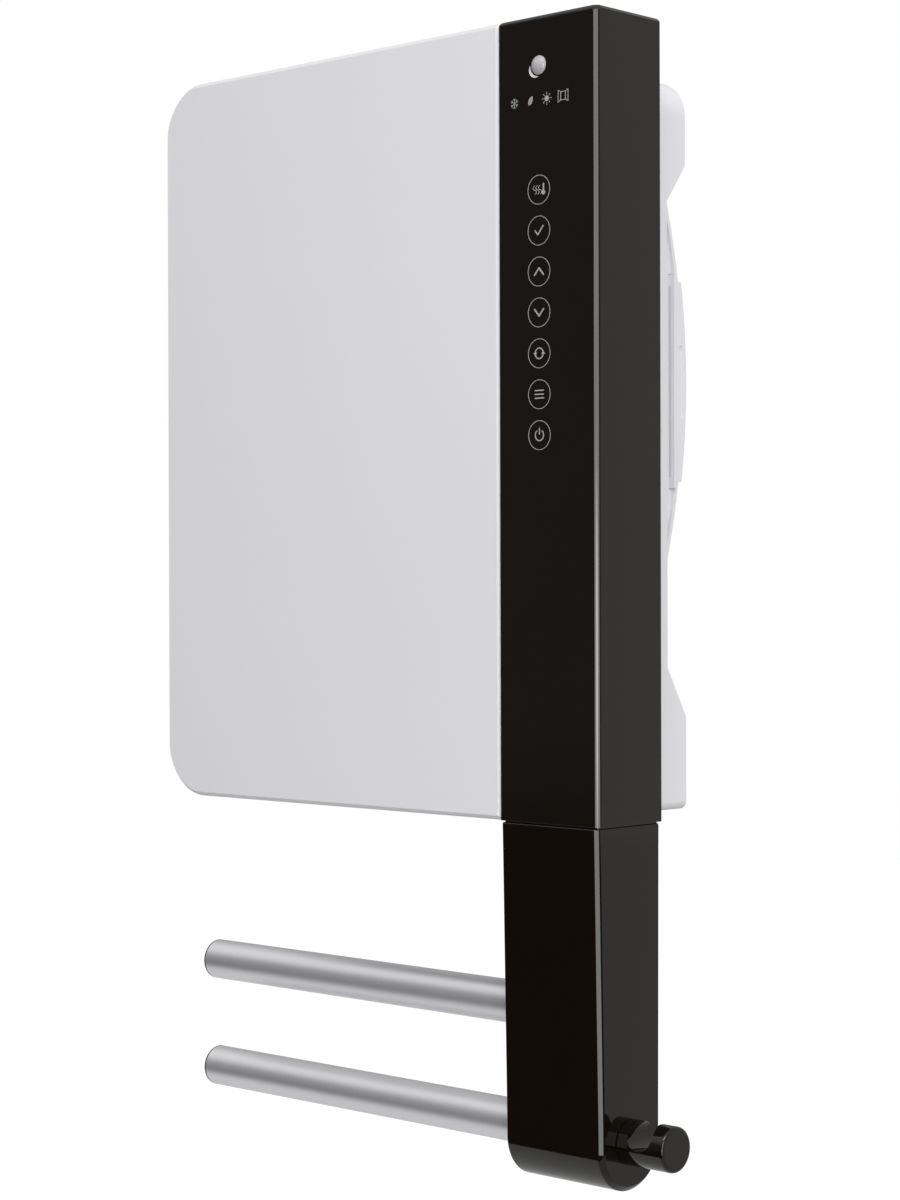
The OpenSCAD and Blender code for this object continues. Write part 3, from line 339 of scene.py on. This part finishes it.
def finish_of(name, colour, roughness, metallic=0.0, grain=None, grain_depth=0.0, mottle=0.04, cloud_scale=30,
              stretch=(1, 1, 1), shine_change=0.05, pattern=None, second=None, relief=0.0):
    """A procedural finish: slight mottling of colour and shine, a fine grain that the light picks up, and
    where the real surface has one, a pattern in a second colour with its own relief in millimetres."""
    material = bpy.data.materials.new(name)
    material.use_nodes = True
    material.node_tree.nodes.clear()
    paint = Wire(material.node_tree)
    place = paint.add("ShaderNodeTexCoord", out="Object")
    laid = paint.add("ShaderNodeMapping", None, {"Vector": place, "Scale": stretch})
    cloud = paint.add("ShaderNodeTexNoise", None, {"Vector": laid, "Scale": cloud_scale, "Detail": 3.0})
    darker = tuple(c * (1 - mottle) for c in colour) + (1,)
    lighter = tuple(min(1, c * (1 + mottle)) for c in colour) + (1,)
    base = cloud.blend(darker, lighter)
    values = {"Roughness": cloud * shine_change + (roughness - shine_change / 2), "Metallic": metallic}
    bumps = None
    if grain:
        fine = paint.add("ShaderNodeTexNoise", None, {"Vector": laid, "Scale": grain, "Detail": 2.0})
        bumps = paint.add("ShaderNodeBump", None, {"Distance": grain_depth / 1000, "Height": fine})
    if pattern:
        figure = pattern(paint, place)
        if second:
            base = figure.blend(base, tuple(second) + (1,))
        if relief:
            raised = {"Distance": relief / 1000, "Height": figure}
            if bumps:
                raised["Normal"] = bumps
            bumps = paint.add("ShaderNodeBump", None, raised)
    values["Base Color"] = base
    if bumps:
        values["Normal"] = bumps
    surface = paint.add("ShaderNodeBsdfPrincipled", None, values)
    paint.add("ShaderNodeOutputMaterial", None, {"Surface": surface})
    return material


def dress(piece, material):
    """Gives a piece its one material."""
    piece.data.materials.clear()
    piece.data.materials.append(material)


def stand_for(piece, *names, slot, body="heater"):
    """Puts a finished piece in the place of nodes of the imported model."""
    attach(piece, body)
    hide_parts(*names)


PANEL_LOW, PANEL_HIGH = extent("front_panel")
PANEL_ROUND, PANEL_SHARP, PANEL_ROLL, ROLL_FORM = 40, 3, 2.9, 0.27
PANEL_SHEET = 1.5

panel = block("panel_front", PANEL_LOW, PANEL_HIGH)
round_off(panel, (both(front_to_back, edge_at(x=PANEL_LOW.x)), PANEL_ROUND), segments=24)
round_off(panel, (both(front_to_back, edge_at(x=PANEL_HIGH.x)), PANEL_SHARP), segments=6)
round_off(panel, (edge_at(y=PANEL_LOW.y), PANEL_ROLL), profile=ROLL_FORM)
choose(panel, facing_way(TO_WALL))
bpy.ops.mesh.delete(type="FACE")
bpy.ops.object.mode_set(mode="OBJECT")
wall(panel, PANEL_SHEET)
smooth(panel)
dress(panel, finish_of("panel_paint", (0.691, 0.690, 0.706), 0.42, grain=900, grain_depth=0.02,
                       mottle=0.012, cloud_scale=6))
stand_for(panel, "front_panel", slot="panel_paint")


# Heating film, insulation and chassis: printed carbon strips between two amber films glued behind
# the panel, a board of pressed mineral wool, and a zinc-coated sheet that carries everything.
FILM_STRIP = 0.012
STRIP_FOOT, STRIP_FULL = 0.2, 0.3  # where a strip starts to rise and is full, in shares of its pitch
ZINC, SPANGLE_SCALE, SPANGLE_SHADE = (0.55, 0.56, 0.58), 130, 0.86


def strips(pitch):
    """Even bars side by side across the width, as a pattern."""
    def figure(paint, place):
        along = paint.add("ShaderNodeSeparateXYZ", None, {"Vector": place}, out="X")
        return paint.maths("PINGPONG", along, pitch / 2).step(STRIP_FOOT * pitch, STRIP_FULL * pitch)
    return figure


def cells(scale):
    """Irregular flakes, each with its own shade, as a pattern."""
    def figure(paint, place):
        flakes = paint.add("ShaderNodeTexVoronoi", None, {"Vector": place, "Scale": scale}, out="Color")
        return paint.add("ShaderNodeSeparateColor", None, {"Color": flakes}, out="Red")
    return figure


def dress_node(material, *names):
    """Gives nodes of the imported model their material."""
    for name in names:
        dress(nodes[name], material)


zinc = finish_of("zinc_sheet", ZINC, 0.38, metallic=1.0, grain=500, grain_depth=0.01, mottle=0.05,
                 pattern=cells(SPANGLE_SCALE), second=[c * SPANGLE_SHADE for c in ZINC])
dress_node(finish_of("film_amber", (0.55, 0.24, 0.05), 0.3, grain=60, grain_depth=0.05,
                     pattern=strips(FILM_STRIP), second=(0.03, 0.03, 0.03), relief=0.03), "heating_film")
dress_node(finish_of("mineral_wool", (0.50, 0.42, 0.20), 0.95, grain=420, grain_depth=0.9, mottle=0.3,
                     cloud_scale=90, stretch=(1, 4, 0.4)), "insulation_board")
dress_node(zinc, "chassis_plate")


# Rear housing: a white moulding with a bowed back over the air intake, and two pairs of feet that
# stand it off the wall. Its edges are eased as a mould leaves them. Four long screws hold it.
HOUSING_EDGE = 0.4
SAME_POINT = 0.00001             # metres under which two points are joined
SAME_FLAT, EASED_OVER = 0.4, 38  # degrees under which faces are one flat, and over which an edge is eased


def eased_copy(node, name, width):
    """A copy of a node, its loose triangles joined to faces and its edges eased."""
    fresh()
    piece = bpy.data.objects.new(name, nodes[node].data.copy())
    piece.data.name = name
    bpy.context.scene.collection.objects.link(piece)
    choose(piece)
    bpy.ops.mesh.remove_doubles(threshold=SAME_POINT)
    bpy.ops.mesh.customdata_custom_splitnormals_clear()
    bpy.ops.mesh.dissolve_limited(angle_limit=radians(SAME_FLAT))
    bpy.ops.object.mode_set(mode="OBJECT")
    apply(piece, "BEVEL", width=width / 1000, segments=3, limit_method="ANGLE",
          angle_limit=radians(EASED_OVER), use_clamp_overlap=True)
    smooth(piece)
    return piece


white_plastic = finish_of("white_plastic", (0.736, 0.736, 0.754), 0.38, grain=600, grain_depth=0.03,
                          mottle=0.012, cloud_scale=8)
screw_steel = finish_of("screw_steel", (0.62, 0.63, 0.65), 0.3, metallic=1.0, grain=1500, grain_depth=0.02,
                        mottle=0.1, cloud_scale=300)
housing = eased_copy("rear_housing", "housing_back", HOUSING_EDGE)
dress(housing, white_plastic)
stand_for(housing, "rear_housing", slot="white_plastic")
dress_node(screw_steel, "housing_screws")


# Dust filter: a white slotted cassette that slides out to the right, and the woven white net that
# is welded across its frame.
CASSETTE_EDGE = 0.3
WEAVE = 0.0016


def weave(pitch):
    """Threads over and under, as a pattern."""
    def figure(paint, place):
        x = paint.add("ShaderNodeSeparateXYZ", None, {"Vector": place}, out="X")
        z = paint.add("ShaderNodeSeparateXYZ", None, {"Vector": place}, out="Z")
        across = paint.maths("PINGPONG", x, pitch / 2) * (2 / pitch)
        down = paint.maths("PINGPONG", z, pitch / 2) * (2 / pitch)
        return across * (1 - down) + down * (1 - across)
    return figure


cassette = eased_copy("filter_cassette", "cassette_frame", CASSETTE_EDGE)
dress(cassette, white_plastic)
stand_for(cassette, "filter_cassette", slot="white_plastic", body="filter")
dress_node(finish_of("net_white", (0.66, 0.66, 0.67), 0.6, pattern=weave(WEAVE), second=(0.50, 0.50, 0.51),
                     relief=0.1), "filter_mesh")


# Fan: a cross-flow rotor of rolled aluminium blades in a black moulded scroll. Its ground steel shaft
# runs in a bronze bush and in the brackets of a small shaded-pole motor with a taped amber winding.
LAMINATION, WINDING = 0.0005, 0.0012
dress_node(finish_of("fan_plastic", (0.018, 0.018, 0.019), 0.5, grain=700, grain_depth=0.04, mottle=0.1),
           "fan_casing")
dress_node(finish_of("rotor_aluminium", (0.66, 0.67, 0.69), 0.33, metallic=1.0, grain=350, grain_depth=0.02,
                     stretch=(0.05, 1, 1), mottle=0.06), "fan_rotor")
dress_node(finish_of("shaft_steel", (0.60, 0.61, 0.62), 0.22, metallic=1.0, grain=2500, grain_depth=0.01,
                     stretch=(1, 0.02, 0.02), mottle=0.05), "rotor_shaft")
dress_node(finish_of("bush_bronze", (0.55, 0.33, 0.12), 0.45, metallic=1.0, grain=1800, grain_depth=0.05,
                     mottle=0.15, cloud_scale=400), "shaft_bush")
dress_node(finish_of("lamination", (0.16, 0.165, 0.18), 0.5, metallic=0.8, grain=900, grain_depth=0.02,
                     mottle=0.1, pattern=strips(LAMINATION), second=(0.06, 0.06, 0.065), relief=0.05),
           "motor_rotor", "motor_stator")
dress_node(finish_of("coil_amber", (0.30, 0.08, 0.015), 0.28, grain=300, grain_depth=0.05, mottle=0.15,
                     pattern=strips(WINDING), second=(0.18, 0.045, 0.01), relief=0.25), "motor_coil")
dress_node(zinc, "motor_brackets")


# Heater: two finned tubular rods across a zinc-coated sheet frame, with a resin cut-out screwed to
# it, a sheet duct below, and a dark moulded grille in the housing's bottom where the warm air leaves.
dress_node(zinc, "heater_frame", "outlet_duct")
dress_node(finish_of("element_metal", (0.52, 0.46, 0.42), 0.4, metallic=1.0, grain=600, grain_depth=0.03,
                     mottle=0.2, cloud_scale=60), "heating_element")
dress_node(finish_of("cutout_resin", (0.14, 0.06, 0.03), 0.4, grain=900, grain_depth=0.05, mottle=0.15),
           "thermal_cutout")
cap_grey = finish_of("cap_grey", (0.040, 0.040, 0.042), 0.45, grain=900, grain_depth=0.04, mottle=0.08)
dress_node(cap_grey, "outlet_grille")


# Power electronics: a green circuit board on nylon posts with three blue relays, a white terminal
# block for the fixed cable, its grey gland, and the white sensor that hangs out below.
TRACK = 0.0035
TRACK_CELL, TRACK_FOLD, TRACK_RISE = 0.3, 0.12, (0.05, 0.07)  # how the tracks' pattern is laid and cut


def tracks(pitch):
    """Copper tracks under the green lacquer, in broken stepped lines, as a pattern."""
    def figure(paint, place):
        bricks = paint.add("ShaderNodeTexVoronoi", {"distance": "CHEBYCHEV", "feature": "F1"},
                           {"Vector": place, "Scale": TRACK_CELL / pitch, "Randomness": 1.0}, out="Distance")
        return paint.maths("PINGPONG", bricks, TRACK_FOLD).step(*TRACK_RISE)
    return figure


board_green = finish_of("board_green", (0.012, 0.10, 0.03), 0.3, grain=400, grain_depth=0.01,
                        pattern=tracks(TRACK), second=(0.03, 0.17, 0.05), relief=0.035)
dress_node(board_green, "power_board")
dress_node(finish_of("nylon_white", (0.70, 0.70, 0.66), 0.45, grain=800, grain_depth=0.03, mottle=0.03),
           "board_posts", "terminal_block", "room_sensor")
dress_node(finish_of("relay_blue", (0.01, 0.035, 0.16), 0.25, grain=700, grain_depth=0.01, mottle=0.06),
           "power_relays")
dress_node(finish_of("gland_grey", (0.26, 0.27, 0.29), 0.5, grain=800, grain_depth=0.04, mottle=0.04),
           "cable_gland")


# Column cover: a deep moulding in piano-black gloss over the controls. Its front corners are eased,
# the right one as a broad flat, and it has a round hole for the lens and a slot below for the mast.
def rod(name, axis, low, high, centre, radius, sides=96, ends="NGON"):
    """A round bar along one axis from low to high, in millimetres, at its centre on the other two axes."""
    fresh()
    middle = (low + high) / 2
    spot = {"X": (middle, *centre), "Y": (centre[0], middle, centre[1]), "Z": (*centre, middle)}[axis]
    turn = {"X": (0, pi / 2, 0), "Y": (pi / 2, 0, 0), "Z": (0, 0, 0)}[axis]
    bpy.ops.mesh.primitive_cylinder_add(vertices=sides, radius=radius / 1000, depth=(high - low) / 1000,
                                        end_fill_type=ends, location=Vector(spot) / 1000, rotation=turn)
    return settle(name)


def work(piece, tool, operation):
    """Cuts a tool's shape out of the piece or keeps what lies in it, and puts the tool away."""
    apply(piece, "BOOLEAN", operation=operation, object=tool, solver="EXACT")
    bpy.data.objects.remove(tool)


def carve(piece, tool):
    """Cuts a tool's shape out of the piece."""
    work(piece, tool, "DIFFERENCE")


def cut_off(piece, place, way):
    """Cuts off what lies past a plane through a place in millimetres, and closes the cut."""
    choose(piece)
    bpy.ops.mesh.bisect(plane_co=Vector(place) / 1000, plane_no=way, use_fill=True, clear_outer=True)
    bpy.ops.object.mode_set(mode="OBJECT")


COLUMN_LOW, COLUMN_HIGH = extent("column_cover")
TOP_CORNER, FLAT_CORNER, FRONT_EASE, TOP_EASE, SEAM_EASE = 4.5, 3.5, 1.5, 3.6, 0.5
SIDE_TOP, APEX_DROP, APEX_WAY = 2.4, 3.4, (0.5, -0.5, 0.707)
FLATNESS = 0.29
COVER_WALL, MAST_GAP = 2.5, 0.5
MAST_LOW, MAST_HIGH = extent("arm_mast")
LENS_LOW, LENS_HIGH = extent("sensor_lens")
LENS_X, LENS_Z = (LENS_LOW.x + LENS_HIGH.x) / 2, (LENS_LOW.z + LENS_HIGH.z) / 2
LENS_HOLE_R = 6.6
PAST, FAR_PAST = 1, 5  # how far a tool reaches past what it cuts

column = block("column_shell", COLUMN_LOW, COLUMN_HIGH)
round_off(column, (edge_at(x=COLUMN_LOW.x, z=COLUMN_HIGH.z), TOP_CORNER),
          (both(front_to_back, edge_at(z=COLUMN_LOW.z)), SEAM_EASE))
round_off(column, (edge_at(x=COLUMN_HIGH.x, z=COLUMN_HIGH.z), SIDE_TOP), profile=FLATNESS)
side_form = block("side_form", COLUMN_LOW - Vector((FAR_PAST, 0, 0)),
                  COLUMN_HIGH + Vector((FAR_PAST, FAR_PAST, 0)))
round_off(side_form, (edge_at(y=COLUMN_LOW.y, z=COLUMN_HIGH.z), TOP_EASE),
          (edge_at(y=COLUMN_LOW.y, z=COLUMN_LOW.z), SEAM_EASE))
plan_form = block("plan_form", COLUMN_LOW - Vector((0, 0, FAR_PAST)),
                  COLUMN_HIGH + Vector((0, FAR_PAST, FAR_PAST)))
round_off(plan_form, (edge_at(x=COLUMN_LOW.x, y=COLUMN_LOW.y), FRONT_EASE))
round_off(plan_form, (edge_at(x=COLUMN_HIGH.x, y=COLUMN_LOW.y), FLAT_CORNER), profile=FLATNESS)
for form in (side_form, plan_form):
    work(column, form, "INTERSECT")
cut_off(column, (COLUMN_HIGH.x - FLAT_CORNER / 2, COLUMN_LOW.y + FLAT_CORNER / 2, COLUMN_HIGH.z - APEX_DROP),
        APEX_WAY)
carve(column, block("inside", COLUMN_LOW + Vector((COVER_WALL,) * 3),
                    (COLUMN_HIGH.x - COVER_WALL, COLUMN_HIGH.y + PAST, COLUMN_HIGH.z - COVER_WALL)))
carve(column, rod("lens_hole", "Y", COLUMN_LOW.y - PAST, COLUMN_LOW.y + COVER_WALL + PAST, (LENS_X, LENS_Z),
                  LENS_HOLE_R))
carve(column, block("mast_slot", (MAST_LOW.x - MAST_GAP, MAST_LOW.y - MAST_GAP, COLUMN_LOW.z - PAST),
                    (MAST_HIGH.x + MAST_GAP, MAST_HIGH.y + MAST_GAP, COLUMN_LOW.z + COVER_WALL + PAST)))
smooth(column)
black_gloss = finish_of("black_gloss", (0.0046, 0.0027, 0.0013), 0.05, grain=160, grain_depth=0.004,
                        mottle=0.1, cloud_scale=20, shine_change=0.02)
dress(column, black_gloss)
stand_for(column, "column_cover", slot="black_gloss")


# Inside the column: a matt black back plate screwed to the housing, and the control board with its
# foam touch pads and the clouded guide that lights the pictograms.
dress_node(finish_of("black_matt", (0.010, 0.010, 0.010), 0.6, grain=700, grain_depth=0.05, mottle=0.1),
           "column_back")
dress_node(screw_steel, "column_screws")
dress_node(board_green, "control_board")
dress_node(finish_of("pad_foam", (0.012, 0.012, 0.013), 0.9, grain=1600, grain_depth=0.2, mottle=0.2,
                     cloud_scale=500), "touch_pads")
dress_node(finish_of("light_pipe", (0.62, 0.62, 0.56), 0.3, grain=300, grain_depth=0.01, mottle=0.03),
           "light_guide")


# Presence sensor: a pearl-grey domed lens in the column's hole over a metal can, with a bright
# crescent beside it.
dress_node(finish_of("lens_grey", (0.40, 0.39, 0.412), 0.28, grain=500, grain_depth=0.01, mottle=0.02),
           "sensor_lens")
dress_node(finish_of("ring_silver", (0.73, 0.73, 0.74), 0.4, metallic=0.2, grain=900, grain_depth=0.01,
                     mottle=0.05), "sensor_ring")
dress_node(finish_of("sensor_can", (0.55, 0.55, 0.53), 0.35, metallic=1.0, grain=900, grain_depth=0.02),
           "presence_sensor")


# Printed marks: thin pale grey rings round the seven touch keys, the keys' signs and the four
# pictograms above them, all screen-printed on the gloss.
dress_node(finish_of("print_grey", (0.33, 0.33, 0.33), 0.5, grain=1400, grain_depth=0.01, mottle=0.06,
                     cloud_scale=500), "key_marks")


# Arm cover: the same black gloss, in one piece with the drum at its end that the lower bar and the
# hook are set in. It hangs on the steel mast under the column, which is screwed to the column back.
ARM_LOW, ARM_HIGH = extent("arm_cover")
BAR_LOW, BAR_HIGH = extent("lower_towel_bar")
BAR_Y, LOWER_Z = (BAR_LOW.y + BAR_HIGH.y) / 2, (BAR_LOW.z + BAR_HIGH.z) / 2
DRUM_R = 30.5
DRUM_Z = ARM_LOW.z + DRUM_R
TAPER = 9       # height over which the drum's depth becomes the arm's
ARM_CORNER = 1  # radians over which two faces meet in a corner
ARM_TOP_EASE, EASE_STEPS = 1.2, ((0.15, 0.5), (0.35, 0.35), (0.5, 0.15))  # steps in shares, inwards and up
LIP_IN, LIP_RISE = 1.4, 0.9
AT_TOP = 0.1    # how far under the arm's top a face still belongs to it


def draw_up(piece, test, rise):
    """Draws the chosen upward faces up, or down where rise is negative, in millimetres. It is an inset of
    no width, because that gives the new faces in the same order each time, and an extrusion doesn't."""
    choose(piece, test)
    bpy.ops.mesh.inset(thickness=0, depth=rise / 1000)
    bpy.ops.object.mode_set(mode="OBJECT")


def split_at(piece, axis, place, test):
    """Splits the chosen faces where a plane across one axis meets them."""
    choose(piece, test)
    bpy.ops.mesh.bisect(plane_co=[place / 1000 if i == axis else 0 for i in range(3)],
                        plane_no=[1 if i == axis else 0 for i in range(3)])
    bpy.ops.object.mode_set(mode="OBJECT")


upwards = facing_way(UP)
arm = rod("arm_shell", "X", ARM_LOW.x, ARM_HIGH.x, (BAR_Y, DRUM_Z), DRUM_R, sides=128)
cut_off(arm, (0, BAR_Y, DRUM_Z), UP)
for rise in (TAPER, ARM_HIGH.z - DRUM_Z - TAPER):
    draw_up(arm, upwards, rise)
choose(arm, upwards)
bpy.ops.transform.resize(value=(1, (ARM_HIGH.y - ARM_LOW.y) / (2 * DRUM_R), 1),
                         center_override=(0, BAR_Y / 1000, 0))
bpy.ops.transform.translate(value=(0, ((ARM_LOW.y + ARM_HIGH.y) / 2 - BAR_Y) / 1000, 0))
bpy.ops.object.mode_set(mode="OBJECT")


def cornered(edge):
    """Whether two faces meet in a corner, and not in one flat side."""
    return edge.calc_face_angle() > ARM_CORNER


def rearward(edge):
    """0 at the drum's bottom and before it, rising to 1 at the drum's rear and on the edge above it."""
    middle = (edge.verts[0].co + edge.verts[1].co) / 2 * 1000
    return min(1, max(0, (middle.y - BAR_Y) / DRUM_R)) if middle.z < DRUM_Z else float(middle.y > BAR_Y)


def right_ease(edge):
    """The column's flat corner down the front and round the drum's bottom, and a small ease behind."""
    return FLAT_CORNER + (FRONT_EASE - FLAT_CORNER) * rearward(edge)


round_off(arm, (edge_at(z=ARM_HIGH.z), 0), (both(edge_at(x=ARM_LOW.x), cornered), FRONT_EASE),
          (both(edge_at(x=ARM_HIGH.x), cornered), right_ease), profile=FLATNESS)
choose(arm, upwards)
bpy.ops.transform.translate(value=(0, 0, -ARM_TOP_EASE / 1000))
for inwards, rise in EASE_STEPS:
    bpy.ops.mesh.inset(thickness=inwards * ARM_TOP_EASE / 1000, depth=rise * ARM_TOP_EASE / 1000)
bpy.ops.object.mode_set(mode="OBJECT")
lip_low, lip_high = ARM_LOW + Vector((LIP_IN, 2 * LIP_IN, 0)), ARM_HIGH - Vector((LIP_IN, LIP_IN, 0))
mouth_low, mouth_high = MAST_LOW - Vector((MAST_GAP,) * 3), MAST_HIGH + Vector((MAST_GAP,) * 3)
for corner in (lip_low, lip_high, mouth_low, mouth_high):
    split_at(arm, 0, corner.x, upwards)
    split_at(arm, 1, corner.y, upwards)


def top_within(low, high):
    """A test for faces of the arm's top that lie between two corners."""
    def test(face):
        middle = face.calc_center_median() * 1000
        return (upwards(face) and middle.z > ARM_HIGH.z - AT_TOP
                and low.x < middle.x < high.x and low.y < middle.y < high.y)
    return test


draw_up(arm, top_within(mouth_low, mouth_high), mouth_low.z - ARM_HIGH.z)
draw_up(arm, top_within(lip_low, lip_high), LIP_RISE)
smooth(arm)
dress(arm, black_gloss)
stand_for(arm, "arm_cover", slot="black_gloss")
dress_node(finish_of("mast_steel", (0.022, 0.022, 0.023), 0.5, grain=700, grain_depth=0.05, mottle=0.1),
           "arm_mast")
dress_node(zinc, "mast_spacers")
dress_node(screw_steel, "mast_screws")


# Towel bars: round aluminium tube, satin finished, pushed on plugs on the mast and screwed there.
# Each free end is closed by a thin dark grey cap.
BAR_WALL = 1.5
UPPER_LOW, UPPER_HIGH = extent("upper_towel_bar")
UPPER_Z = (UPPER_LOW.z + UPPER_HIGH.z) / 2
satin = finish_of("satin_aluminium", (0.81, 0.81, 0.835), 0.42, metallic=0.85, grain=900, grain_depth=0.008,
                  mottle=0.02, cloud_scale=120, stretch=(0.03, 1, 1))
for name, z in (("upper_towel_bar", UPPER_Z), ("lower_towel_bar", LOWER_Z)):
    bar = rod("satin_" + name, "X", BAR_LOW.x, BAR_HIGH.x, (BAR_Y, z), (BAR_HIGH.z - BAR_LOW.z) / 2,
              ends="NOTHING")
    wall(bar, BAR_WALL)
    smooth(bar)
    dress(bar, satin)
    stand_for(bar, name, slot="satin_aluminium")
dress_node(cap_grey, "bar_end_caps")
dress_node(satin, "bar_plugs")
dress_node(screw_steel, "bar_screws")


# Robe hook: a round peg of black gloss on a stud through the drum, with a round notch across it
# that a loop drops into.
HOOK_LOW, HOOK_HIGH = extent("robe_hook")
HOOK_R, HOOK_NOSE, HOOK_BASE = 15.5, 2.5, 0.8
NOTCH_R, NOTCH_IN, NOTCH_UP = 10.3, 18.6, 8.4
NOTCH_EASE, NOTCH_RIM = 0.9, 35  # and the degrees over which an edge belongs to the notch's rim
STUD_R, STUD_END = 4, 7

hook = rod("hook_peg", "X", HOOK_LOW.x, HOOK_HIGH.x, (BAR_Y, LOWER_Z), HOOK_R)
round_off(hook, (edge_at(x=HOOK_HIGH.x), HOOK_NOSE), (edge_at(x=HOOK_LOW.x), HOOK_BASE))
carve(hook, rod("hook_notch", "Y", BAR_Y - HOOK_R - FAR_PAST, BAR_Y + HOOK_R + FAR_PAST,
                (HOOK_LOW.x + NOTCH_IN, LOWER_Z + NOTCH_UP), NOTCH_R, sides=128))
apply(hook, "BEVEL", width=NOTCH_EASE / 1000, segments=4, limit_method="ANGLE",
      angle_limit=radians(NOTCH_RIM))
carve(hook, rod("stud_hole", "X", HOOK_LOW.x - PAST, HOOK_LOW.x + STUD_END, (BAR_Y, LOWER_Z), STUD_R,
                sides=48))
smooth(hook)
dress(hook, black_gloss)
stand_for(hook, "robe_hook", slot="black_gloss")
dress_node(screw_steel, "hook_stud")
dress_node(zinc, "hook_spacer")


# Wall rails: two folded zinc-coated rails screwed to the wall. The housing hooks over the upper one
# and is held to the lower one by two small screws from below.
dress_node(zinc, "upper_wall_rail", "lower_wall_rail")
dress_node(screw_steel, "rail_lock_screws")
